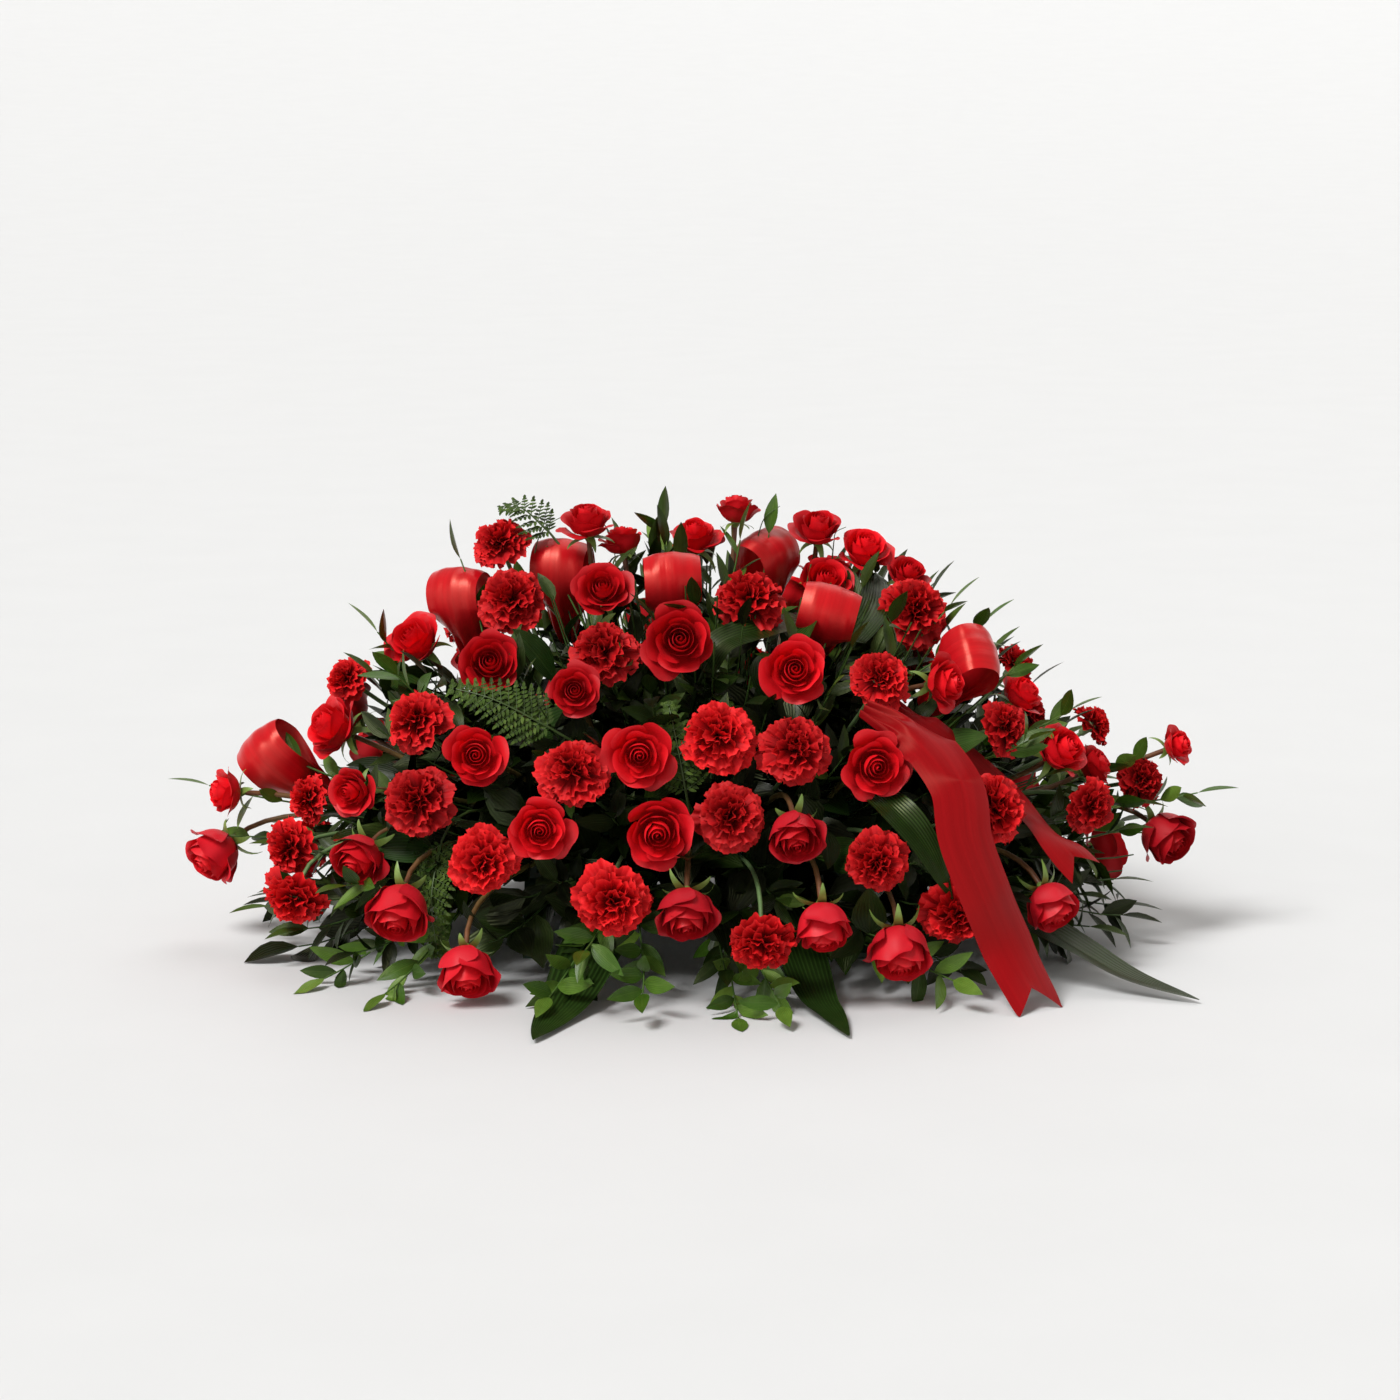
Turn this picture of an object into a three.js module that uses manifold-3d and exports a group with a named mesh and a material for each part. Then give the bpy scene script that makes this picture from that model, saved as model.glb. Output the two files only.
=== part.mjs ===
// Casket spray: red roses and carnations with ruscus, fern and aspidistra leaves and loops of
// satin ribbon, arranged as a low mound in wet floral foam on a footed plastic saddle.
// Millimetres, +Z up. X runs along the casket and -Y faces the viewer. The origin is on the
// surface that the saddle's feet stand on, under the middle of the spray.
import * as THREE from "three";
import { mergeVertices } from "three/addons/utils/BufferGeometryUtils.js";
import Module from "manifold-3d";

const wasm = await Module();
wasm.setup();

// Half length, half depth and height of the mound through the middles of its blooms
const MOUND = new THREE.Vector3(472, 348, 396);
// The viewer's eye, and the point of the spray that it looks at
const EYE_DISTANCE = 4000;
const EYE_RISE = THREE.MathUtils.degToRad(10);
const AIM_HEIGHT = 245;
// Front places are read as millimetres across from the middle and up from the surface
const VIEW_SCALE = 1.039;
const AIM_UP = 230;

const FOAM = { length: 230, depth: 110, height: 80, seam: 0.3 };
const TRAY = { length: 470, depth: 118, floor: 73, wall: 30, thickness: 3, lip: 4 };
const ARCH = { x: 168, thickness: 26, footY: 96, footWidth: 34, footHeight: 6, band: 12 };
const TAPE = { x: 84, width: 12, thickness: 0.6, gap: 0.3 };
const PEG = { radius: 2.8, depth: 24, out: 9, clearance: 0.3 };
const HOLE_SIDES = 4;
const STEM = { rose: 2.8, carnation: 2.3, ruscus: 1.7, salal: 2.2, fern: 1.7, blade: 2.6, pick: 2.4 };
const BLADE_THICKNESS = 1.2;
const STEM_SIDES = 3;
const RIBBON = { width: 60, thickness: 0.8 };
const HEAD_GAP = 1.2;
const CLEARANCE = 0.45;
const FLOOR_GAP = 2.5;
const BUNCH_SIZE = 4;

const COLOURS = {
  rose: 0xa80e18,
  carnation: 0xd81a1c,
  ribbon: 0xd0141c,
  ruscus: 0x3e6b2a,
  salal: 0x2f5526,
  fern: 0x35591f,
  aspidistra: 0x2c4a22,
  foam: 0x3f6b45,
  saddle: 0x24402a,
  tape: 0x2f5a34,
};

const X_AXIS = new THREE.Vector3(1, 0, 0);
const Z_AXIS = new THREE.Vector3(0, 0, 1);
const VIEW_UP = new THREE.Vector3(0, Math.sin(EYE_RISE), Math.cos(EYE_RISE));
const AIM = new THREE.Vector3(0, 0, AIM_HEIGHT);
const EYE = new THREE.Vector3(0, -Math.cos(EYE_RISE), Math.sin(EYE_RISE))
  .multiplyScalar(EYE_DISTANCE)
  .add(AIM);

function vec(x, y, z) {
  return new THREE.Vector3(x, y, z);
}

// Repeatable draws between 0 and 1
function drawsFrom(seed) {
  let state = seed;
  return () => {
    state = (state * 16807) % 2147483647;
    return state / 2147483647;
  };
}

// Places on the mound

function sightLine(across, up) {
  const target = AIM.clone()
    .addScaledVector(X_AXIS, VIEW_SCALE * across)
    .addScaledVector(VIEW_UP, VIEW_SCALE * (up - AIM_UP));
  return new THREE.Ray(EYE, target.sub(EYE).normalize());
}

// The point seen at a front place, lifted off the mound and never lower than the given height
function onMound(across, up, lift = 0, lowest = FLOOR_GAP) {
  const ray = sightLine(across, up);
  const half = MOUND.clone().addScalar(lift);
  const start = ray.origin.clone().divide(half);
  const way = ray.direction.clone().divide(half);
  const a = way.dot(way);
  const b = start.dot(way);
  const c = start.dot(start) - 1;
  const root = Math.sqrt(Math.max(b * b - a * c, 0));
  const point = ray.at((-b - root) / a, vec(0, 0, 0));
  if (point.z >= lowest) return point;
  return ray.at((lowest - EYE.z) / ray.direction.z, vec(0, 0, 0));
}

function moundNormal(point) {
  const square = MOUND.clone().multiply(MOUND);
  const low = point.clone().setZ(Math.max(point.z, 0));
  return low.divide(square).normalize();
}

// A direction turned from the viewer towards +X and raised, both in degrees
function facing(turn, rise) {
  const yaw = THREE.MathUtils.degToRad(turn);
  const pitch = THREE.MathUtils.degToRad(rise);
  return vec(Math.sin(yaw) * Math.cos(pitch), -Math.cos(yaw) * Math.cos(pitch), Math.sin(pitch));
}

// Blooms of the front: across, up, width, and where the head turns from the mound's own
// direction its turn and rise in degrees
const FRONT_ROSES = [
  [-483, 81, 62, -50, -30],
  [-450, 155, 50, -70, 5],
  [-378, 205, 65, -60, 25],
  [-278, 301, 62, -35, 40],
  [-210, 270, 64, 0, 20],
  [-224, 178, 60, 0, 10],
  [-348, 141, 50, -30, 5],
  [-340, 76, 58, -25, -25],
  [-300, 25, 68, -10, -40],
  [-233, -35, 62, 5, -45],
  [-160, 103, 60, 0, 5],
  [-125, 243, 50, 0, 15],
  [-86, 347, 58, 0, 30],
  [-20, 293, 72, 0, 15],
  [-61, 178, 64, 0, 5],
  [-42, 101, 68, 0, 0],
  [-13, 23, 60, 0, -45],
  [95, 263, 64, 0, 15],
  [94, 101, 58, 5, -30],
  [176, 167, 66, 6, 5],
  [120, 8, 60, 5, -55],
  [200, -15, 66, 5, -50],
  [350, 30, 56, 35, -45],
  [463, 103, 62, 40, -25],
  [257, 258, 54, 60, 10],
  [362, 183, 58, 50, 35],
  [-125, 393, 55, -10, 75],
  [-82, 393, 46],
  [8, 399, 55, 0, 70],
  [41, 393, 46],
  [106, 393, 52, 10, 65],
  [128, 361, 58, 15, 40],
  [162, 376, 55, 20, 55],
  [202, 363, 46, 30, 50],
  [395, 168, 48],
  [322, 240, 48],
  [476, 186, 42, 60, 25],
];
const FRONT_CARNATIONS = [
  [-408, 28, 64, -25, -50],
  [-415, 83, 60, -45, -10],
  [-423, 153, 50, -65, 5],
  [-357, 255, 50, -50, 35],
  [-288, 216, 66],
  [-287, 135, 70],
  [-217, 68, 66, 0, -5],
  [-212, 376, 60, -30, 55],
  [-190, 336, 70, -10, 30],
  [-98, 286, 70],
  [-128, 165, 70],
  [-88, 27, 72, 0, -15],
  [18, 201, 72],
  [97, 187, 70],
  [33, 118, 68],
  [64, -15, 66, 0, -50],
  [50, 340, 74],
  [217, 325, 74, 25, 30],
  [182, 258, 62],
  [178, 67, 62, 0, -20],
  [257, 15, 68, 5, -20],
  [297, 128, 72],
  [310, 206, 55, 50, 15],
  [395, 123, 56, 40, -15],
  [448, 151, 56, 50, 15],
  [397, 212, 46],
  [318, 273, 46],
];

// Blooms of the back, spread evenly by the golden angle
const BACK = { points: 54, from: 62, lowest: 52, seed: 23, width: 64, spread: 8 };

// Ribbon loops: across, up, lift of the top, tall, deep, turn and rise of the way out, and the
// twist of the width about it
const LOOPS = [
  { name: "ribbon_loop_far_left", at: [-448, 195], lift: 30, tall: 120, deep: 62, way: [-62, 40], twist: 60 },
  { name: "ribbon_loop_left", at: [-246, 362], lift: 22, tall: 112, deep: 58, way: [-30, 66], twist: 8 },
  { name: "ribbon_loop_mid_left", at: [-140, 390], lift: 24, tall: 118, deep: 62, way: [-8, 66], twist: -6 },
  { name: "ribbon_loop_middle", at: [-28, 372], lift: 22, tall: 112, deep: 58, way: [0, 50], twist: 4 },
  { name: "ribbon_loop_mid_right", at: [68, 398], lift: 22, tall: 118, deep: 62, way: [12, 62], twist: 38 },
  { name: "ribbon_loop_right", at: [132, 334], lift: 22, tall: 112, deep: 58, way: [6, 34], twist: -18 },
  { name: "ribbon_loop_far_right", at: [285, 290], lift: 30, tall: 116, deep: 60, way: [40, 44], twist: 70 },
];

// Ribbon tails: places along the middle as across, up and lift, the width, and the notch
const TAILS = [
  {
    name: "ribbon_tail_long",
    width: 60,
    notch: 26,
    places: [
      [165, 226, 0], [216, 202, 20], [258, 150, 42], [268, 95, 44], [288, 40, 40], [312, -18, 34],
      [344, -78, 12],
    ],
  },
  {
    name: "ribbon_tail_short",
    width: 46,
    notch: 20,
    places: [
      [180, 238, -30], [226, 208, -30], [270, 172, -42], [318, 132, -34], [358, 92, 8], [388, 62, 30],
    ],
  },
];

// Sprays of ruscus: the places of the tips of each, and how far they lift off the mound
const RUSCUS = [
  { name: "ruscus_left_end", tips: [[-515, 158, 40], [-512, 106, 46], [-470, 205, 40]] },
  { name: "ruscus_upper_left", tips: [[-338, 322, 40], [-318, 276, 44], [-250, 398, 34]] },
  { name: "ruscus_top", tips: [[-37, 432, 54], [42, 419, 48], [-160, 412, 42]] },
  { name: "ruscus_upper_right", tips: [[72, 425, 52], [262, 350, 46], [296, 330, 50]] },
  { name: "ruscus_right", tips: [[330, 284, 52], [385, 236, 50], [345, 205, 44]] },
  { name: "ruscus_right_end", tips: [[468, 190, 44], [522, 150, 48], [500, 110, 44]] },
  { name: "ruscus_low_left", tips: [[-395, -50, 40], [-330, -66, 52], [-372, 50, 40]] },
  { name: "ruscus_low_middle", tips: [[-158, -70, 44], [-120, -20, 44], [-60, -66, 50]] },
  { name: "ruscus_low_right", tips: [[40, -92, 44], [84, -80, 50], [265, -52, 44]] },
];
const BACK_RUSCUS = [
  { name: "ruscus_back_left", tips: [[-215, 405, 44], [-400, 290, 110]] },
  { name: "ruscus_back_right", tips: [[60, 420, 60], [400, 280, 110]] },
];

// Branches of salal that fill in under the blooms: the places of the tips of their twigs, the
// front ones as across, up and lift
const SALAL_FRONT = [
  [-60, 145, -26], [-295, 263, -14], [-160, 290, -22], [90, 296, -20], [150, 84, -16],
  [250, 200, -24], [-300, 96, -26],
];
const SALAL_BACK = [
  [0, 300, 118], [-150, 284, 104], [150, 284, 104], [-256, 240, 120], [256, 240, 120],
  [-346, 156, 162], [346, 156, 162], [-160, 210, 204], [160, 210, 204],
];

// Fern fronds: the places of the foot and tip of each, and how far they lift off the mound
const FERNS = [
  { name: "fern_low_left", foot: [-258, 92, -60], tip: [-262, -26, -48], wide: 62 },
  { name: "fern_left", foot: [-150, 205, -34], tip: [-252, 246, 22], wide: 64 },
  { name: "fern_middle", foot: [-14, 140, -40], tip: [-32, 232, -2], wide: 52 },
  { name: "fern_top", foot: [-150, 400, -30], tip: [-200, 424, 14], wide: 56 },
];
const BACK_FERNS = [
  { name: "fern_back_left", foot: [-90, 246, 196], tip: [-116, 392, 120], wide: 66 },
  { name: "fern_back_right", foot: [110, 240, 210], tip: [170, 400, 130], wide: 70 },
];

// Aspidistra blades: the middle of each from its foot to its tip, and its width
const BLADES = [
  {
    name: "aspidistra_front_left",
    wide: 66,
    way: [[-62, -86, 96], [-94, -200, 52], [-124, -312, 16], [-142, -380, 6], [-156, -448, 4]],
  },
  {
    name: "aspidistra_front_middle",
    wide: 50,
    way: [[62, -86, 96], [92, -210, 50], [112, -318, 14], [126, -370, 7], [140, -432, 4]],
  },
  {
    name: "aspidistra_front_right",
    wide: 64,
    way: [[200, -80, 100], [272, -150, 80], [350, -208, 48], [420, -252, 16], [486, -300, 5]],
  },
  {
    name: "aspidistra_back_left",
    wide: 66,
    way: [[-84, 86, 100], [-126, 190, 72], [-164, 312, 26], [-184, 396, 8], [-198, 448, 4]],
  },
  {
    name: "aspidistra_back_right",
    wide: 60,
    way: [[110, 86, 100], [160, 200, 72], [205, 310, 26], [232, 390, 8], [250, 440, 4]],
  },
];

// Solids

function solidOf(geometry) {
  const bare = new THREE.BufferGeometry();
  bare.setAttribute("position", geometry.getAttribute("position"));
  if (geometry.index) bare.setIndex(geometry.index);
  const merged = mergeVertices(bare, 1e-3);
  const index = merged.index.array;
  const triVerts = [];
  for (let i = 0; i < index.length; i += 3) {
    const [a, b, c] = index.slice(i, i + 3);
    if (a !== b && b !== c && c !== a) triVerts.push(a, b, c);
  }
  return new wasm.Manifold(new wasm.Mesh({
    numProp: 3,
    vertProperties: new Float32Array(merged.attributes.position.array),
    triVerts: new Uint32Array(triVerts),
  }));
}

function join(solids) {
  return solids.reduce((whole, next) => whole.add(next));
}

// The largest body of a solid, without loose scraps
function largest(solid) {
  const bodies = solid.decompose();
  return bodies.reduce((best, next) => (next.volume() > best.volume() ? next : best));
}

function box(x0, x1, y0, y1, z0, z1) {
  const geometry = new THREE.BoxGeometry(x1 - x0, y1 - y0, z1 - z0);
  geometry.translate((x0 + x1) / 2, (y0 + y1) / 2, (z0 + z1) / 2);
  return solidOf(geometry);
}

function polygon(radius, sides) {
  const shape = new THREE.Shape();
  for (let i = 0; i < sides; i += 1) {
    const angle = (2 * Math.PI * i) / sides;
    const x = radius * Math.cos(angle);
    const y = radius * Math.sin(angle);
    if (i === 0) shape.moveTo(x, y);
    else shape.lineTo(x, y);
  }
  return shape;
}

// A curve whose steps fall on its own points, so that a straight stretch stays straight
function curveThrough(points) {
  const path = new THREE.CatmullRomCurve3(points);
  path.getUtoTmapping = (u) => u;
  return path;
}

function tube(points, radius, sides = STEM_SIDES) {
  const steps = points.length - 1;
  const section = polygon(radius, sides);
  const extrudePath = curveThrough(points);
  return solidOf(new THREE.ExtrudeGeometry(section, { steps, extrudePath, bevelEnabled: false }));
}

// A thin solid from a surface of triangles, its points moved half the thickness each way
function thinSolid(points, faces, thickness) {
  const normals = points.map(() => vec(0, 0, 0));
  const sides = new Map();
  faces.forEach((face) => {
    const [a, b, c] = face.map((id) => points[id]);
    const normal = b.clone().sub(a).cross(c.clone().sub(a));
    face.forEach((id, k) => {
      normals[id].add(normal);
      sides.set(`${id} ${face[(k + 1) % 3]}`, [id, face[(k + 1) % 3]]);
    });
  });
  const half = thickness / 2;
  const top = points.map((point, i) => point.clone().addScaledVector(normals[i].normalize(), half));
  const bottom = points.map((point, i) => point.clone().addScaledVector(normals[i], -half));
  const shift = points.length;
  const index = [];
  faces.forEach(([a, b, c]) => index.push(a, b, c, a + shift, c + shift, b + shift));
  sides.forEach(([p, q]) => {
    if (!sides.has(`${q} ${p}`)) index.push(q, p, p + shift, q, p + shift, q + shift);
  });
  const geometry = new THREE.BufferGeometry().setFromPoints([...top, ...bottom]);
  geometry.setIndex(index);
  return solidOf(geometry);
}

// A thin solid over a grid of points
function sheet(rows, thickness) {
  const across = rows[0].length;
  const faces = [];
  for (let r = 0; r < rows.length - 1; r += 1) {
    for (let c = 0; c < across - 1; c += 1) {
      const a = r * across + c;
      const b = a + across;
      faces.push([a, b, b + 1], [a, b + 1, a + 1]);
    }
  }
  return thinSolid(rows.flat(), faces, thickness);
}

// Two directions square to a way, the first as level as it can be
function framing(way) {
  const level = Math.abs(way.z) > 0.98 ? X_AXIS : Z_AXIS;
  const side = level.clone().cross(way).normalize();
  const over = way.clone().cross(side).normalize();
  return { side, over };
}

// Flower heads, closed round their own axis

// A ring of petals: its points, radius and height, and how far every other point draws in and dips
function ring(count, r, z, notch = 0, dip = 0, turn = 0) {
  return { count, r, z, notch, dip, turn };
}

// The belly of a rose, which shows on one that is half shut
const ROSE_BELLY = ring(5, 0.58, -0.48, 0, 0, 0.05);
// Five outer petals, five inner petals between them, and the wound bud
const ROSE_RINGS = [
  ring(10, 0.98, 0.16, 0.22, 0.14),
  ring(5, 0.57, 0.04, 0, 0, 0.05),
  ring(10, 0.54, 0.56, 0.16, 0.2, 0.1),
  ring(5, 0.2, 0.3, 0, 0, 0.15),
  ring(1, 0, 0.62),
];

// Three tiers of ruffled petals over the slim calyx
const CARNATION_RINGS = [
  ring(10, 0.99, 0.02, 0.22, 0.22),
  ring(10, 0.74, 0.4, 0.18, 0.26, 0.1),
  ring(5, 0.4, 0.62, 0, 0, 0.05),
  ring(1, 0, 0.4),
];

// A rose whose way rises less than this shows its belly
const NODDING = 0.12;

const KINDS = {
  rose: { rings: ROSE_RINGS, foot: 0.76 },
  carnation: { rings: CARNATION_RINGS, foot: 0.84 },
};

// Triangles between two rings, stepping on whichever has the nearer next point
function zip(lower, upper, lowerStart, upperStart) {
  const faces = [];
  const lowerCount = lower.points.length;
  const upperCount = upper.points.length;
  let i = lowerCount > 1 ? 0 : lowerCount;
  let j = upperCount > 1 ? 0 : upperCount;
  while (i < lowerCount || j < upperCount) {
    const lowerTurn = (i + 1) / lowerCount + lower.turn;
    const upperTurn = (j + 1) / upperCount + upper.turn;
    const a = lowerStart + (i % lowerCount);
    const b = upperStart + (j % upperCount);
    if (j >= upperCount || (i < lowerCount && lowerTurn <= upperTurn)) {
      i += 1;
      faces.push([a, lowerStart + (i % lowerCount), b]);
    } else {
      j += 1;
      faces.push([a, upperStart + (j % upperCount), b]);
    }
  }
  return faces;
}

// A closed skin over rings of points, from a cut end of three points to a last single point
function loft(rings) {
  const starts = [];
  const points = [];
  rings.forEach((one) => {
    starts.push(points.length);
    points.push(...one.points);
  });
  const faces = rings.slice(1).flatMap((one, k) => zip(rings[k], one, starts[k], starts[k + 1]));
  const geometry = new THREE.BufferGeometry().setFromPoints(points);
  geometry.setIndex([0, 2, 1, ...faces.flat()]);
  return solidOf(geometry);
}

function ringPoints(centre, side, over, radius, count, turn) {
  const points = [];
  for (let i = 0; i < count; i += 1) {
    const angle = 2 * Math.PI * (i / count + turn);
    const point = centre.clone().addScaledVector(side, radius * Math.cos(angle));
    points.push(point.addScaledVector(over, radius * Math.sin(angle)));
  }
  return points;
}

function headRings(bloom, side, over) {
  const { place, way, radius } = bloom;
  const { rings } = KINDS[bloom.kind];
  const belly = bloom.kind === "rose" && bloom.way.z < NODDING ? [ROSE_BELLY] : [];
  return [...belly, ...rings].map((one) => {
    const centre = place.clone().addScaledVector(way, radius * one.z);
    const points = ringPoints(centre, side, over, radius * one.r, one.count, one.turn);
    points.forEach((point, i) => {
      if (i % 2 === 0) return;
      point.lerp(centre, one.notch / one.r).addScaledVector(way, -radius * one.dip);
    });
    return { points, turn: one.turn };
  });
}

// Rings along a stem, kept from twisting, that end square to a way
function stemRings(stem, radius, end, spin) {
  const frame = framing(end);
  let [side, over] = ringPoints(vec(0, 0, 0), frame.side, frame.over, 1, 4, spin);
  let way = end;
  const rings = [];
  for (let i = stem.length - 1; i >= 0; i -= 1) {
    const before = stem[Math.max(i - 1, 0)];
    const after = stem[Math.min(i + 1, stem.length - 1)];
    const along = after.clone().sub(before).normalize();
    const turned = new THREE.Quaternion().setFromUnitVectors(way, along);
    side = side.clone().applyQuaternion(turned);
    over = over.clone().applyQuaternion(turned);
    way = along;
    rings.unshift({ points: ringPoints(stem[i], side, over, radius, STEM_SIDES, 0), turn: 0 });
  }
  return rings;
}

// A flower on its stem, the stem's three sides running on into the calyx and the petals
function flowerSolid(bloom, stem, radius) {
  const frame = framing(bloom.way);
  const [side, over] = ringPoints(vec(0, 0, 0), frame.side, frame.over, 1, 4, bloom.spin);
  return loft([...stemRings(stem, radius, bloom.way, bloom.spin), ...headRings(bloom, side, over)]);
}

// Blooms

function bloomFrom(kind, [across, up, width, turn, rise]) {
  const radius = width / 2;
  const place = onMound(across, up, 0, radius + FLOOR_GAP);
  const way = turn === undefined ? moundNormal(place) : facing(turn, rise);
  return { kind, place, way, radius };
}

function backBlooms() {
  const draw = drawsFrom(BACK.seed);
  const golden = Math.PI * (3 - Math.sqrt(5));
  const blooms = [];
  for (let i = 0; i < BACK.points; i += 1) {
    const z = (i + 0.5) / BACK.points;
    const flat = Math.sqrt(1 - z * z);
    const place = vec(flat * Math.cos(i * golden), flat * Math.sin(i * golden), z).multiply(MOUND);
    const width = BACK.width + BACK.spread * (draw() - 0.5);
    if (place.y < BACK.from || place.z < BACK.lowest) continue;
    const kind = blooms.length % 2 === 0 ? "rose" : "carnation";
    blooms.push({ kind, place, way: moundNormal(place), radius: width / 2 });
  }
  return blooms;
}

// Heads and ribbon loops that would touch are eased apart, more in depth than across
function easeApart(blooms, fixed) {
  const passes = 90;
  const depthShare = 2;
  for (let pass = 0; pass < passes; pass += 1) {
    blooms.forEach((one, i) => {
      const others = [...blooms.slice(i + 1), ...fixed];
      others.forEach((other) => {
        const gap = other.place.clone().sub(one.place);
        const short = one.radius + other.radius + HEAD_GAP - gap.length();
        if (short <= 0) return;
        const push = vec(gap.x, gap.y * depthShare, gap.z).normalize().multiplyScalar(short);
        const held = other.kind === undefined;
        one.place.addScaledVector(push, held ? -1 : -0.5);
        if (!held) other.place.addScaledVector(push, 0.5);
      });
    });
    blooms.forEach((bloom) => {
      bloom.place.z = Math.max(bloom.place.z, bloom.radius + FLOOR_GAP);
    });
  }
}

// Ribbon loops and tails

function loopFrame(loop) {
  const out = facing(...loop.way);
  const top = onMound(...loop.at, loop.lift);
  const root = top.clone().addScaledVector(out, -loop.tall);
  const { side, over } = framing(out);
  const twist = THREE.MathUtils.degToRad(loop.twist);
  const width = side.clone().multiplyScalar(Math.cos(twist)).addScaledVector(over, Math.sin(twist));
  const lean = out.clone().cross(width).normalize();
  return { out, top, root, width, lean };
}

// Balls that keep the heads clear of a loop
function loopBalls(loop) {
  const { top, out, width } = loopFrame(loop);
  const radius = loop.deep / 2;
  const aside = RIBBON.width * 0.22;
  return [-aside, aside].flatMap((across) => [0.7, 2].map((down) => ({
    place: top.clone().addScaledVector(out, -down * radius).addScaledVector(width, across),
    radius,
  })));
}

function ribbonLoop(loop) {
  const { out, root, width, lean } = loopFrame(loop);
  const stations = 9;
  const rows = [];
  for (let i = 0; i < stations; i += 1) {
    const angle = Math.PI * ((2 * i) / (stations - 1) - 1);
    const rise = (1 + Math.cos(angle)) / 2;
    const belly = (loop.deep / 2) * Math.sin(angle) * (0.45 + 0.8 * rise);
    const apart = 1.6 * Math.sign(angle);
    const half = (RIBBON.width / 2) * Math.min(1, 0.24 + 1.7 * rise);
    const middle = root.clone().addScaledVector(out, loop.tall * rise).addScaledVector(lean, belly + apart);
    rows.push([middle.clone().addScaledVector(width, -half), middle.clone().addScaledVector(width, half)]);
  }
  return sheet(rows, RIBBON.thickness);
}

// A tail laid over the blooms, its end cut in a swallow tail
function ribbonTail(tail) {
  const points = tail.places.map(([across, up, lift]) => onMound(across, up, lift));
  const path = new THREE.CatmullRomCurve3(points);
  const stations = 9;
  const rows = [];
  for (let i = 0; i < stations; i += 1) {
    const t = i / (stations - 1);
    const middle = path.getPointAt(t);
    const along = path.getTangentAt(t);
    const side = along.clone().cross(tailNormal(middle)).normalize();
    const half = (tail.width / 2) * Math.min(1, 0.35 + 3 * t);
    const cut = i === stations - 1 ? tail.notch : 0;
    rows.push([
      middle.clone().addScaledVector(side, -half),
      middle.clone().addScaledVector(along, -cut),
      middle.clone().addScaledVector(side, half),
    ]);
  }
  return sheet(rows, RIBBON.thickness);
}

// Square to the mound, and to the surface below where the tail lies on it
function tailNormal(point) {
  const lying = THREE.MathUtils.clamp(1 - point.z / 60, 0, 1);
  return moundNormal(point).lerp(Z_AXIS, lying).normalize();
}

// The holder

function saddleSolid() {
  const half = TRAY.length / 2;
  const deep = TRAY.depth / 2;
  const t = TRAY.thickness;
  const top = TRAY.floor + t + TRAY.wall;
  const x = half + t;
  const y = deep + t;
  const outer = box(-x, x, -y, y, TRAY.floor, top);
  const lip = box(-x - TRAY.lip, x + TRAY.lip, -y - TRAY.lip, y + TRAY.lip, top - t, top);
  const inner = box(-half, half, -deep, deep, TRAY.floor + t, top + 1);
  const rib = box(-ARCH.x, ARCH.x, -t, t, TRAY.floor - ARCH.band, TRAY.floor + t / 2);
  const arches = [-1, 1].map((side) => archSolid(side * ARCH.x));
  return join([outer, lip]).subtract(inner).add(rib).add(join(arches));
}

// A band bent like a saddle over a domed lid, with a flat foot at each end
function archSolid(x) {
  const inner = ARCH.footY - ARCH.footWidth / 2;
  const outer = ARCH.footY + ARCH.footWidth / 2;
  const shape = new THREE.Shape();
  const crown = TRAY.floor - ARCH.band;
  const bends = 5;
  shape.moveTo(-outer, 0);
  shape.lineTo(-inner, 0);
  for (let i = 0; i <= bends; i += 1) {
    const angle = Math.PI - (Math.PI * i) / bends;
    shape.lineTo(inner * Math.cos(angle), ARCH.footHeight + (crown - ARCH.footHeight) * Math.sin(angle));
  }
  shape.lineTo(inner, 0);
  shape.lineTo(outer, 0);
  shape.lineTo(outer, ARCH.footHeight);
  shape.lineTo(inner + ARCH.band, ARCH.footHeight + ARCH.band);
  shape.lineTo(TRAY.depth / 2, TRAY.floor + 1);
  shape.lineTo(-TRAY.depth / 2, TRAY.floor + 1);
  shape.lineTo(-inner - ARCH.band, ARCH.footHeight + ARCH.band);
  shape.lineTo(-outer, ARCH.footHeight);
  const geometry = new THREE.ExtrudeGeometry(shape, { depth: ARCH.thickness, bevelEnabled: false });
  geometry.rotateX(Math.PI / 2);
  geometry.rotateZ(Math.PI / 2);
  geometry.translate(x - ARCH.thickness / 2, 0, 0);
  return solidOf(geometry);
}

const FOAM_BASE = TRAY.floor + TRAY.thickness + FOAM.seam;
const FOAM_TOP = FOAM_BASE + FOAM.height;

function foamBlock(side) {
  const x0 = FOAM.seam / 2;
  const x1 = x0 + FOAM.length;
  const [from, to] = side > 0 ? [x0, x1] : [-x1, -x0];
  return box(from, to, -FOAM.depth / 2, FOAM.depth / 2, FOAM_BASE, FOAM_TOP);
}

// Tape over the foam, from one wall of the tray to the other
function tapeSolid(x) {
  const edge = FOAM.depth / 2 + TAPE.gap;
  const top = FOAM_TOP + TAPE.gap;
  const foot = TRAY.floor + TRAY.thickness + TRAY.wall + TAPE.gap;
  const t = TAPE.thickness;
  const outer = box(x - TAPE.width / 2, x + TAPE.width / 2, -edge - t, edge + t, foot, top + t);
  const inner = box(x - TAPE.width, x + TAPE.width, -edge, edge, foot - 1, top);
  return outer.subtract(inner);
}

// Holes in the foam that stems stand in

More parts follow.
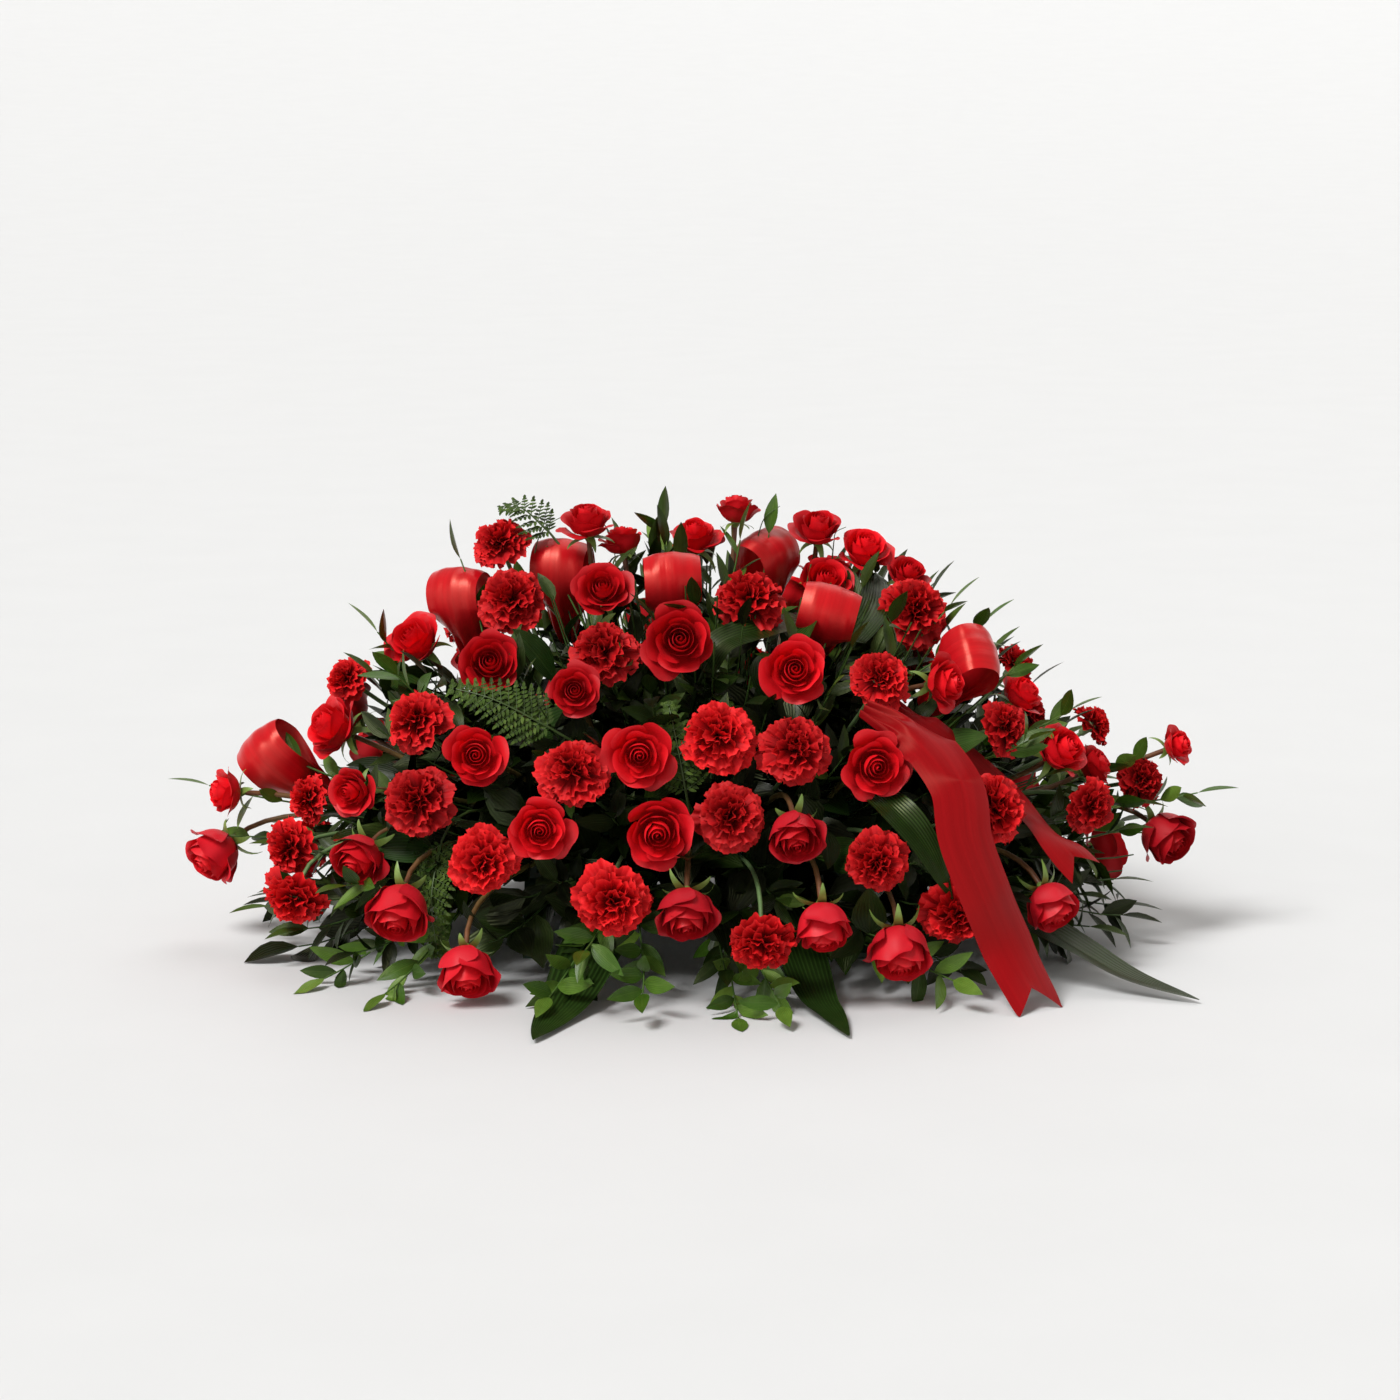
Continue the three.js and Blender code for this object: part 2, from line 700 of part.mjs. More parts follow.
function foamSites() {
  const columns = [-189, -147, -105, -63, -21, 21, 63, 105, 147, 189];
  const rows = [FOAM_BASE + 37, FOAM_BASE + 60];
  const sites = [];
  columns.forEach((x) => {
    rows.forEach((z) => {
      sites.push({ place: vec(x, -FOAM.depth / 2, z), out: vec(0, -1, 0) });
      sites.push({ place: vec(x, FOAM.depth / 2, z), out: vec(0, 1, 0) });
    });
    [-22, 0, 22].forEach((y) => sites.push({ place: vec(x, y, FOAM_TOP), out: vec(0, 0, 1) }));
  });
  const end = FOAM.length + FOAM.seam / 2;
  [-1, 1].forEach((side) => [-32, 0, 32].forEach((y) => rows.forEach((z) => {
    sites.push({ place: vec(side * end, y, z), out: vec(side, 0, 0) });
  })));
  return sites;
}

const SITES = foamSites();

// The free site nearest to where a straight stem to the target would leave the foam
function takeSite(target) {
  const heart = vec(THREE.MathUtils.clamp(target.x * 0.45, -200, 200), 0, FOAM_BASE + FOAM.height * 0.5);
  const way = target.clone().sub(heart).normalize();
  const ideal = heart.clone().addScaledVector(way, 58);
  const free = SITES.filter((site) => !site.taken && site.out.dot(way) > 0);
  const best = free.reduce((near, site) => (
    site.place.distanceTo(ideal) < near.place.distanceTo(ideal) ? site : near
  ));
  best.taken = true;
  return best;
}

// A straight hole, wide enough for the stem end however it is turned, and a little deeper
function holeFor(site) {
  const wider = (PEG.radius + PEG.clearance) / Math.cos(Math.PI / HOLE_SIDES);
  const bottom = site.place.clone().addScaledVector(site.out, -PEG.depth - PEG.clearance);
  const above = site.place.clone().addScaledVector(site.out, PEG.out);
  return tube([bottom, above], wider, HOLE_SIDES);
}

// What stands already, tested when the next piece is bent or left out

const standing = [];

function stand(solid, owner) {
  standing.push({ solid, owner, bounds: solid.boundingBox() });
}

// Nothing may be left out or meet another piece
function refuse(words) {
  throw new Error(words);
}

function boxesMeet(a, b) {
  return [0, 1, 2].every((k) => a.min[k] < b.max[k] && b.min[k] < a.max[k]);
}

function meets(solid, owners) {
  const bounds = solid.boundingBox();
  return standing.find((piece) => (
    !owners.includes(piece.owner)
    && boxesMeet(bounds, piece.bounds)
    && piece.solid.intersect(solid).volume() > 1e-6
  ));
}

function standClear(solid, owner) {
  const met = meets(solid, [owner]);
  if (met) refuse(`${owner} meets ${met.owner}`);
  stand(solid, owner);
}

// Ways to bend a stem off its own line: straight, then wider and wider round it
function bendsRound(way) {
  const { side, over } = framing(way);
  const bends = [vec(0, 0, 0)];
  [8, 15, 23, 32, 43, 56, 72].forEach((reach) => {
    for (let i = 0; i < 10; i += 1) {
      const angle = (Math.PI * i) / 5 + reach;
      const bend = side.clone().multiplyScalar(reach * Math.cos(angle));
      bends.push(bend.addScaledVector(over, reach * Math.sin(angle)));
    }
  });
  return bends;
}

// A stem is tested as a tube of more sides, large enough to hold it however it is turned
const TEST_SIDES = 5;
const ROUND = 1.24;

// Points of a stem that clears all that stands: those from one index to another bend as needed.
// The first stretch of a stem that starts in the foam isn't tested, because its hole clears it.
function clearWay(points, radius, owner, own, bendFrom, bendTo) {
  const way = points[points.length - 1].clone().sub(points[0]).normalize();
  const testFrom = bendFrom === KNEE ? 1 : 0;
  for (const bend of bendsRound(way)) {
    const bent = points.map((point, i) => (
      i >= bendFrom && i <= bendTo ? point.clone().add(bend) : point
    ));
    const low = bent.some((point) => point.z < FLOOR_GAP + radius);
    const tested = bent.slice(testFrom);
    if (!low && !meets(tube(tested, (radius + CLEARANCE) * ROUND, TEST_SIDES), own)) {
      stand(tube(tested, radius * ROUND, TEST_SIDES), owner);
      return bent;
    }
  }
  return null;
}

// The way from a hole in the foam towards a target: in the foam, out of it, and round a knee
function rootTowards(target) {
  const site = takeSite(target);
  const deep = site.place.clone().addScaledVector(site.out, -PEG.depth);
  const exit = site.place.clone().addScaledVector(site.out, PEG.out);
  const reach = target.distanceTo(exit);
  const knee = exit.clone().lerp(target, 0.1).addScaledVector(site.out, reach * 0.12);
  const fork = exit.clone().lerp(target, 0.34).addScaledVector(site.out, reach * 0.06);
  return { site, points: [deep, exit, knee, fork] };
}

// Where the first bends come among a main stem's points
const KNEE = 2;
const FORK = 3;

// A point on a stem, counted in its own points
function alongStem(points, count) {
  const i = Math.floor(count);
  return points[i].clone().lerp(points[i + 1], count - i);
}

// The way of a side stem that starts inside the main one, at the first of these places on it
// that leaves the way clear
function sideWay(main, counts, viaFrom, end, radius, owner, own, bendTo = 1) {
  for (const count of counts) {
    const start = alongStem(main, count);
    const via = viaFrom(start);
    const back = via.clone().sub(start).normalize().multiplyScalar(-1.2);
    const way = clearWay([start.clone().add(back), via, end], radius, owner, own, 1, bendTo);
    if (way) return way;
  }
  return null;
}

// Bunches

// Blooms of one kind that stand near each other, taken from left to right, with none left alone
function bunchesOf(blooms) {
  const left = [...blooms].sort((a, b) => a.place.x - b.place.x);
  const bunches = [];
  while (left.length > 0) {
    const first = left.shift();
    const near = [...left].sort((a, b) => (
      a.place.distanceTo(first.place) - b.place.distanceTo(first.place)
    ));
    const more = left.length === BUNCH_SIZE ? BUNCH_SIZE : BUNCH_SIZE - 1;
    const bunch = [first, ...near.slice(0, more)];
    bunch.slice(1).forEach((bloom) => left.splice(left.indexOf(bloom), 1));
    bunches.push(bunch);
  }
  return bunches;
}

function middleOf(points) {
  const sum = points.reduce((total, point) => total.add(point), vec(0, 0, 0));
  return sum.divideScalar(points.length);
}

// Where a stem comes up behind a head: below it, then at its foot
function neckOf(bloom) {
  const foot = KINDS[bloom.kind].foot * bloom.radius;
  return [
    bloom.place.clone().addScaledVector(bloom.way, -foot - 24),
    bloom.place.clone().addScaledVector(bloom.way, -foot),
  ];
}

// The bloom whose own stem can be the main one, the nearest to the middle of the bunch first
function mainWay(name, bunch, radius) {
  const target = middleOf(bunch.map((bloom) => bloom.place));
  const byMiddle = [...bunch].sort((a, b) => a.place.distanceTo(target) - b.place.distanceTo(target));
  for (const bloom of byMiddle) {
    const [neck, foot] = neckOf(bloom);
    const { site, points } = rootTowards(neck);
    const way = clearWay([...points, neck, foot], radius, name, [name, bloom.id], KNEE, FORK);
    if (way) return { site, way, bloom, others: byMiddle.filter((other) => other !== bloom) };
    site.taken = false;
  }
  return null;
}

function bunchSolid(name, bunch) {
  const radius = STEM[bunch[0].kind];
  const { site, way, bloom: first, others } = mainWay(name, bunch, radius);
  const parts = [flowerSolid(first, way, radius)];
  others.forEach((bloom, i) => {
    const preferred = KNEE + 0.4 + i * 0.45;
    const counts = [0, 0.25, -0.2, 0.5, 0.7, 0.9, 1.1].map((step) => preferred + step);
    const [neck, foot] = neckOf(bloom);
    const viaFrom = (start) => start.clone().lerp(neck, 0.75);
    const side = sideWay(way, counts, viaFrom, foot, radius, name, [name, bloom.id]);
    if (!side) refuse(`${name} has no way to ${bloom.id}`);
    parts.push(flowerSolid(bloom, side, radius));
  });
  return { solid: largest(join(parts)), site };
}

// Leaves

// A pointed leaf of four facets with a raised midrib, its foot sunk in the stem
function leafSolid(foot, way, over, long, wide, thick) {
  const side = way.clone().cross(over).normalize();
  const up = side.clone().cross(way).normalize();
  const middle = foot.clone().addScaledVector(way, long * 0.42).addScaledVector(up, -thick);
  const points = [
    foot,
    middle.clone().addScaledVector(side, wide / 2),
    foot.clone().addScaledVector(way, long).addScaledVector(up, -long * 0.05),
    middle.clone().addScaledVector(side, -wide / 2),
  ];
  const geometry = new THREE.BufferGeometry().setFromPoints(points);
  geometry.setIndex([0, 1, 2, 0, 2, 3, 0, 3, 1, 1, 3, 2]);
  return solidOf(geometry);
}

// The leaf, unless it would touch what stands or the surface below
function clearLeaf(foot, way, over, long, wide, thick, owner) {
  const room = 2 * CLEARANCE;
  const grown = leafSolid(foot, way, over, long + room, wide + 2 * room, thick + room);
  if (grown.boundingBox().min[2] < FLOOR_GAP || meets(grown, [owner])) return null;
  const leaf = leafSolid(foot, way, over, long, wide, thick);
  stand(leaf, owner);
  return leaf;
}

const LEAVES = {
  ruscus: { long: 42, wide: 16, thick: 1.8, perTwig: 4, from: 0.4, forward: 0.9, tilt: 0.35 },
  salal: { long: 80, wide: 48, thick: 2, perTwig: 1, from: 0.62, forward: 0.6, tilt: 0.3 },
};
// Sizes that a leaf is tried at, from full grown to young
const GROWTH = [1, 0.82, 0.66];

// The largest leaf of a kind that clears what stands, with its size
function grownLeaf(foot, way, over, { long, wide, thick }, owner) {
  for (const size of GROWTH) {
    const leaf = clearLeaf(foot, way, over, long * size, wide * size, thick, owner);
    if (leaf) return { leaf, size };
  }
  return null;
}

// Leaves in turn to either side of a twig
function sideLeaves(path, kind, owner) {
  const { perTwig, from, forward, tilt } = kind;
  const leaves = [];
  for (let i = 0; i < perTwig; i += 1) {
    const t = from + ((1 - from) * i) / (perTwig - 0.5);
    const spot = path.getPointAt(t);
    const along = path.getTangentAt(t);
    const over = moundNormal(spot);
    const side = along.clone().cross(over).normalize();
    const way = along.multiplyScalar(forward).addScaledVector(side, i % 2 === 0 ? 1 : -1);
    way.addScaledVector(over, i % 3 === 0 ? -tilt : tilt).normalize();
    const grown = grownLeaf(spot, way, over, kind, owner);
    if (grown) leaves.push(grown.leaf);
  }
  return leaves;
}

// The four points round the widest place of a leaf, started near the first point of its stem
function leafRing(foot, way, over, first, long, wide, thick) {
  const side = way.clone().cross(over).normalize();
  const up = side.clone().cross(way).normalize();
  const middle = foot.clone().addScaledVector(way, long * 0.42).addScaledVector(up, -thick / 2);
  const arms = [
    side.clone().multiplyScalar(wide / 2),
    up.clone().multiplyScalar(-thick / 2),
    side.clone().multiplyScalar(-wide / 2),
    up.clone().multiplyScalar(thick / 2),
  ];
  const angles = arms.map((arm) => arm.angleTo(first));
  const start = angles.indexOf(Math.min(...angles));
  const around = [...arms.slice(start), ...arms.slice(0, start)];
  return { points: around.map((arm) => middle.clone().add(arm)), turn: 0 };
}

// A twig that runs on into the leaf at its tip, with its side leaves
function twigSolid(stem, radius, kind, owner, leafFrom = 0) {
  const path = new THREE.CatmullRomCurve3(stem.slice(leafFrom));
  const leaves = sideLeaves(path, kind, owner);
  const end = stem[stem.length - 1];
  const last = path.getTangentAt(1);
  const over = moundNormal(end);
  const grown = grownLeaf(end, last, over, kind, owner);
  const rings = stemRings(stem, radius, last, 0);
  if (grown) {
    const long = kind.long * grown.size;
    const wide = kind.wide * grown.size;
    const top = rings[rings.length - 1].points[0].clone().sub(end);
    rings.push(leafRing(end, last, over, top, long, wide, kind.thick));
    rings.push({ points: [end.clone().addScaledVector(last, long)], turn: 0 });
  } else {
    rings.push({ points: [end.clone().addScaledVector(last, radius)], turn: 0 });
  }
  return join([loft(rings), ...leaves]);
}

// A leafy stem with a twig to each tip after the first
function sprigSolid(name, tips, radius, kind) {
  const leafBack = kind.long * 0.6;
  const ends = tips.map((tip) => tip.clone().addScaledVector(moundNormal(tip), -leafBack));
  const { site, points } = rootTowards(ends[0]);
  const middle = points[FORK].clone().lerp(ends[0], 0.5).addScaledVector(Z_AXIS, 6);
  const main = clearWay([...points, middle, ends[0]], radius, name, [name], KNEE, FORK + 2);
  if (!main) refuse(`${name} has no clear way`);
  const parts = [twigSolid(main, radius, kind, name, FORK)];
  ends.slice(1).forEach((end, i) => {
    const count = KNEE + 0.6 + (i % 4) * 0.5;
    const counts = [count, count + 0.3, count + 0.7];
    const viaFrom = (start) => start.clone().lerp(end, 0.55).addScaledVector(Z_AXIS, 6);
    const side = sideWay(main, counts, viaFrom, end, radius, name, [name], 2);
    if (side) parts.push(twigSolid(side, radius, kind, name));
  });
  return { solid: largest(join(parts)), site };
}

const FERN_LEAF = { pairs: 7, rib: 1.4, thick: 1.2, forward: 0.5, taper: 0.78 };

// A frond: leaflets cut to the rib in one thin arched blade, those that would touch left out
function frondSolid(points, wide, owner) {
  const { pairs, rib, thick, forward, taper } = FERN_LEAF;
  const path = new THREE.CatmullRomCurve3(points);
  const verts = [];
  const faces = [];
  for (let i = 0; i <= pairs; i += 1) {
    const spot = path.getPointAt(i / pairs);
    const side = path.getTangentAt(i / pairs).cross(moundNormal(spot)).normalize();
    verts.push(spot.clone().addScaledVector(side, -rib), spot.clone().addScaledVector(side, rib));
  }
  for (let i = 0; i < pairs; i += 1) {
    const a = 2 * i;
    faces.push([a, a + 3, a + 1], [a, a + 2, a + 3]);
    const t = (i + 0.5) / pairs;
    const spot = path.getPointAt(t);
    const along = path.getTangentAt(t);
    const side = along.clone().cross(moundNormal(spot)).normalize();
    const long = (wide / 2) * (1 - taper * t);
    [-1, 1].forEach((hand) => {
      const tip = spot.clone().addScaledVector(side, hand * long).addScaledVector(along, forward * long);
      const [near, far] = hand < 0 ? [a, a + 2] : [a + 1, a + 3];
      const face = hand < 0 ? [0, 2, 1] : [0, 1, 2];
      const grown = thinSolid([verts[near], verts[far], tip], [face], thick + 2 * CLEARANCE);
      if (grown.boundingBox().min[2] < FLOOR_GAP || meets(grown, [owner])) return;
      verts.push(tip);
      const id = verts.length - 1;
      faces.push(hand < 0 ? [near, id, far] : [near, far, id]);
    });
  }
  return thinSolid(verts, faces, thick);
}

function fernSolid(name, foot, tip, wide) {
  const { site, points } = rootTowards(foot);
  const arch = foot.clone().lerp(tip, 0.5).addScaledVector(moundNormal(foot), 14);
  const stalk = [...points, foot, foot.clone().lerp(arch, 0.2)];
  const main = clearWay(stalk, STEM.fern, name, [name], KNEE, FORK);
  if (!main) refuse(`${name} has no clear way`);
  const frond = frondSolid([foot, arch, tip], wide, name);
  standClear(frond, name);
  return { solid: largest(join([tube(main, STEM.fern), frond])), site };
}

// A long arched blade, folded a little along its midrib, on its own stalk
function bladeSolid(name, points, wide) {
  const path = new THREE.CatmullRomCurve3(points);
  const stations = 6;
  const rows = [];
  for (let i = 0; i < stations; i += 1) {
    const t = i / (stations - 1);
    const middle = path.getPointAt(t);
    const along = path.getTangentAt(t);
    const side = along.clone().cross(Z_AXIS).normalize();
    const up = side.clone().cross(along).normalize();
    const half = Math.max(1.5, (wide / 2) * Math.sin(Math.PI * t ** 0.8) ** 0.75);
    const fold = half * THREE.MathUtils.clamp(middle.z / 150, 0.04, 0.2);
    rows.push([
      middle.clone().addScaledVector(side, -half).addScaledVector(up, fold),
      middle,
      middle.clone().addScaledVector(side, half).addScaledVector(up, fold),
    ]);
  }
  const blade = sheet(rows, BLADE_THICKNESS);
  const root = rootTowards(points[0]);
  const stalk = [...root.points, points[0], path.getPointAt(0.08)];
  const main = clearWay(stalk, STEM.blade, name, [name], KNEE, FORK);
  standClear(blade, name);
  return { solid: largest(join([tube(main, STEM.blade), blade])), site: root.site };
}

// The whole spray

const spray = new THREE.Group();

function addMesh(name, solid, colour, roughness) {
  const source = solid.getMesh();
  const geometry = new THREE.BufferGeometry();
  const position = new THREE.BufferAttribute(new Float32Array(source.vertProperties), 3);
  geometry.setAttribute("position", position);
  geometry.setIndex(new THREE.BufferAttribute(new Uint32Array(source.triVerts), 1));
  const finish = new THREE.MeshStandardMaterial({ color: colour, roughness, metalness: 0 });
  const mesh = new THREE.Mesh(geometry, finish);
  mesh.name = name;
  spray.add(mesh);
}

const usedSites = [];

// A piece that stands in the foam, with the hole that it stands in
function addPlanted(name, made, colour, roughness) {
  usedSites.push(made.site);
  addMesh(name, made.solid, colour, roughness);
}

const saddle = saddleSolid();
stand(saddle, "saddle");
addMesh("foam_saddle", saddle, COLOURS.saddle, 0.5);
const bricks = [-1, 1].map((side) => foamBlock(side));
bricks.forEach((brick) => stand(brick, "foam"));
[-1, 1].forEach((side) => {
  const tape = tapeSolid(side * TAPE.x);
  stand(tape, "tape");
  addMesh(side < 0 ? "anchor_tape_left" : "anchor_tape_right", tape, COLOURS.tape, 0.45);
});

const blooms = [
  ...FRONT_ROSES.map((entry) => bloomFrom("rose", entry)),
  ...FRONT_CARNATIONS.map((entry) => bloomFrom("carnation", entry)),
  ...backBlooms(),
];
easeApart(blooms, LOOPS.flatMap(loopBalls));

LOOPS.forEach((loop) => {
  loop.solid = ribbonLoop(loop);
  stand(loop.solid, loop.name);
});
TAILS.forEach((tail) => {
  tail.solid = ribbonTail(tail);
  stand(tail.solid, tail.name);
});
blooms.forEach((bloom, i) => {
  bloom.id = `head ${i}`;
  bloom.spin = i * 0.23;
  bloom.solid = flowerSolid(bloom, [neckOf(bloom)[1]], STEM[bloom.kind]);
  standClear(bloom.solid, bloom.id);
});

LOOPS.forEach((loop) => {
  const { root, out } = loopFrame(loop);
  const { site, points } = rootTowards(root);
  const neck = root.clone().addScaledVector(out, 5);
  const below = root.clone().addScaledVector(out, -14);
  const pick = clearWay([...points, below, neck], STEM.pick, loop.name, [loop.name], KNEE, FORK);
  const solid = largest(join([loop.solid, tube(pick, STEM.pick)]));
  addPlanted(loop.name, { solid, site }, COLOURS.ribbon, 0.35);
});
TAILS.forEach((tail) => {
  const [start, next] = tail.places.slice(0, 2).map((place) => onMound(...place));
  const { site, points } = rootTowards(start);
  const stalk = [...points, start, start.clone().lerp(next, 0.12)];
  const pick = clearWay(stalk, STEM.pick, tail.name, [tail.name], KNEE, FORK);
  const solid = largest(join([tail.solid, tube(pick, STEM.pick)]));
  addPlanted(tail.name, { solid, site }, COLOURS.ribbon, 0.35);
});

BLADES.forEach((blade) => {
  const points = blade.way.map(([x, y, z]) => vec(x, y, z));
  addPlanted(blade.name, bladeSolid(blade.name, points, blade.wide), COLOURS.aspidistra, 0.4);
});

["rose", "carnation"].forEach((kind) => {
  bunchesOf(blooms.filter((bloom) => bloom.kind === kind)).forEach((bunch, i) => {
    const name = `${kind}_bunch_${String(i + 1).padStart(2, "0")}`;
    addPlanted(name, bunchSolid(name, bunch), COLOURS[kind], kind === "rose" ? 0.55 : 0.7);
  });
});

const fronds = [
  ...FERNS.map((fern) => ({ ...fern, foot: onMound(...fern.foot), tip: onMound(...fern.tip) })),
  ...BACK_FERNS.map((fern) => ({ ...fern, foot: vec(...fern.foot), tip: vec(...fern.tip) })),
];
fronds.forEach(({ name, foot, tip, wide }) => {
  addPlanted(name, fernSolid(name, foot, tip, wide), COLOURS.fern, 0.5);
});
const sprays = [
  ...RUSCUS.map(({ name, tips }) => ({ name, tips: tips.map((tip) => onMound(...tip)) })),
  ...BACK_RUSCUS.map(({ name, tips }) => ({ name, tips: tips.map((tip) => vec(...tip)) })),
];
sprays.forEach(({ name, tips }) => {
  addPlanted(name, sprigSolid(name, tips, STEM.ruscus, LEAVES.ruscus), COLOURS.ruscus, 0.45);
});
const branches = [
  { name: "salal_front", tips: SALAL_FRONT.map((tip) => onMound(...tip)) },
  { name: "salal_back", tips: SALAL_BACK.map((tip) => vec(...tip)) },
];
branches.forEach(({ name, tips }) => {
  addPlanted(name, sprigSolid(name, tips, STEM.salal, LEAVES.salal), COLOURS.salal, 0.45);
});

bricks.forEach((brick, i) => {
  const holes = usedSites.map((site) => holeFor(site));
  const near = holes.filter((hole) => boxesMeet(brick.boundingBox(), hole.boundingBox()));
  const solid = near.reduce((block, hole) => block.subtract(hole), brick);
  addMesh(i === 0 ? "floral_foam_left" : "floral_foam_right", solid, COLOURS.foam, 0.95);
});

export default spray;
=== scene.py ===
"""Dresses a packed casket spray: red roses and carnations, ruscus, salal, fern and aspidistra
leaves, satin ribbon loops and tails, all standing in wet foam on a footed saddle.

The layout is worked out in millimetres, with the viewer towards -Y, and meshes are made in metres.
"""
import math

import bpy
import numpy as np
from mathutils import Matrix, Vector


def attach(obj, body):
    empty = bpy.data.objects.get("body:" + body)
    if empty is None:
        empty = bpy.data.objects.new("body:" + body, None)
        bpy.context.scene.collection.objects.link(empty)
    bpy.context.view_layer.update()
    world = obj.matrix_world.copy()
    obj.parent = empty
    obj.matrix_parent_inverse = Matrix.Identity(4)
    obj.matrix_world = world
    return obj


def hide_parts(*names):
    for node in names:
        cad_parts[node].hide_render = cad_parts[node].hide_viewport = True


bl_info = {
    "name": "Casket Spray",
    "version": (1, 0, 0),
    "blender": (4, 5, 0),
    "location": "View3D > Sidebar > Casket Spray",
    "description": "Builds the flowers, greens, ribbon and holder of a casket spray",
    "category": "Add Mesh",
}

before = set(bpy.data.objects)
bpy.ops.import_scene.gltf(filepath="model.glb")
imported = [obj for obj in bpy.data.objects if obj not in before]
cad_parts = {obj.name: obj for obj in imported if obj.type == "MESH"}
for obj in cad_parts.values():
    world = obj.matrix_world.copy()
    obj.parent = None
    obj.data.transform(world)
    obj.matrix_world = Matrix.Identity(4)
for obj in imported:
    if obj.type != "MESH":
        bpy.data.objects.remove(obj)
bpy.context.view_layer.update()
BODY = "root"
MM = 0.001

# Half length, half depth and height of the mound through the middles of its blooms
MOUND = np.array([472.0, 348.0, 396.0])
# The eye that the photograph was taken from, and the point that it looks at
EYE_DISTANCE = 4000.0
EYE_RISE = math.radians(10)
AIM = np.array([0.0, 0.0, 245.0])
VIEW_UP = np.array([0.0, math.sin(EYE_RISE), math.cos(EYE_RISE)])
EYE = AIM + EYE_DISTANCE * np.array([0.0, -math.cos(EYE_RISE), math.sin(EYE_RISE)])
# Across and up are counted in pixels of the photograph, 1400 wide, from under the aim
VIEW_SCALE = 1.039
VIEW_WIDTH = 1400
AIM_UP = 230.0
SENSOR = 36.0
# The camera looks this many pixels over the aim
CAMERA_RISE = 3

# Heads keep this far off the floor and each other, and every mesh this far off the floor
FLOOR_GAP = 2.5
HEAD_GAP = 1.2
MESH_GAP = 0.8
BUNCH_SIZE = 4
GOLDEN = math.pi * (3 - math.sqrt(5))
# Stems start in the foam: shares of the way to their ends, and how far out from its middle
FOAM_MIDDLE = 116.3
FOAM_PULL = np.array([0.45, 0.1, 0.0])
FOAM_REACH = np.array([200.0, 30.0, 0.0])
FOAM_SPREAD = 16
# Width of the loops, rows along a loop and a tail, and columns across
RIBBON_WIDTH = 60.0
LOOP_ROWS, TAIL_ROWS, RIBBON_COLUMNS = 81, 90, 33

# Blooms of the front: across, up, width, and the turn and rise of the head in degrees where it
# doesn't look straight out of the mound
FRONT_ROSES = [
    (-483, 81, 62, -50, -30), (-450, 155, 50, -70, 5), (-378, 205, 65, -60, 25),
    (-278, 301, 62, -35, 40), (-210, 270, 64, 0, 20), (-224, 178, 60, 0, 10),
    (-348, 141, 50, -30, 5), (-340, 76, 58, -25, -25), (-300, 25, 68, -10, -40),
    (-233, -35, 62, 5, -45), (-160, 103, 60, 0, 5), (-125, 243, 50, 0, 15),
    (-86, 347, 58, 0, 30), (-20, 293, 72, 0, 15), (-61, 178, 64, 0, 5),
    (-42, 101, 68, 0, 0), (-13, 23, 60, 0, -45), (95, 263, 64, 0, 15),
    (94, 101, 58, 5, -30), (176, 167, 66, 6, 5), (120, 8, 60, 5, -55),
    (200, -15, 66, 5, -50), (350, 30, 56, 35, -45), (463, 103, 62, 40, -25),
    (257, 258, 54, 60, 10), (362, 183, 58, 50, 35), (-125, 393, 55, -10, 75),
    (-82, 393, 46), (8, 399, 55, 0, 70), (41, 393, 46), (106, 393, 52, 10, 65),
    (128, 361, 58, 15, 40), (162, 376, 55, 20, 55), (202, 363, 46, 30, 50),
    (395, 168, 48), (322, 240, 48), (476, 186, 42, 60, 25),
]
FRONT_CARNATIONS = [
    (-408, 28, 64, -25, -50), (-415, 83, 60, -45, -10), (-423, 153, 50, -65, 5),
    (-357, 255, 50, -50, 35), (-288, 216, 66), (-287, 135, 70), (-217, 68, 66, 0, -5),
    (-212, 376, 60, -30, 55), (-190, 336, 70, -10, 30), (-98, 286, 70), (-128, 165, 70),
    (-88, 27, 72, 0, -15), (18, 201, 72), (97, 187, 70), (33, 118, 68), (64, -15, 66, 0, -50),
    (50, 340, 74), (217, 325, 74, 25, 30), (182, 258, 62), (178, 67, 62, 0, -20),
    (257, 15, 68, 5, -20), (297, 128, 72), (310, 206, 55, 50, 15), (395, 123, 56, 40, -15),
    (448, 151, 56, 50, 15), (397, 212, 46), (318, 273, 46),
]
# Blooms of the back, and the plain draws for their widths
BACK = {"points": 54, "from": 62, "lowest": 52, "seed": 23, "width": 64, "spread": 8}
DRAW_FACTOR, DRAW_RANGE = 16807, 2147483647

# Ribbon loops: across, up, lift of the top, tall, deep, turn and rise of the way out, and twist
LOOPS = {
    "ribbon_loop_far_left": ((-448, 195), 30, 120, 62, (-62, 40), 60),
    "ribbon_loop_left": ((-246, 362), 22, 112, 58, (-30, 66), 8),
    "ribbon_loop_mid_left": ((-140, 390), 24, 118, 62, (-8, 66), -6),
    "ribbon_loop_middle": ((-28, 372), 22, 112, 58, (0, 50), 4),
    "ribbon_loop_mid_right": ((68, 398), 22, 118, 62, (12, 62), 38),
    "ribbon_loop_right": ((132, 334), 22, 112, 58, (6, 34), -18),
    "ribbon_loop_far_right": ((285, 290), 30, 116, 60, (40, 44), 70),
}
# Ribbon tails: width, notch, and places along the middle as across, up and lift
TAILS = {
    "ribbon_tail_long": (60, 26, [
        (165, 226, 0), (216, 202, 20), (258, 150, 42), (268, 95, 44), (288, 40, 40),
        (312, -18, 34), (344, -78, 12),
    ]),
    "ribbon_tail_short": (46, 20, [
        (180, 238, -30), (226, 208, -30), (270, 172, -42), (318, 132, -34), (358, 92, 8),
        (388, 62, 30),
    ]),
}
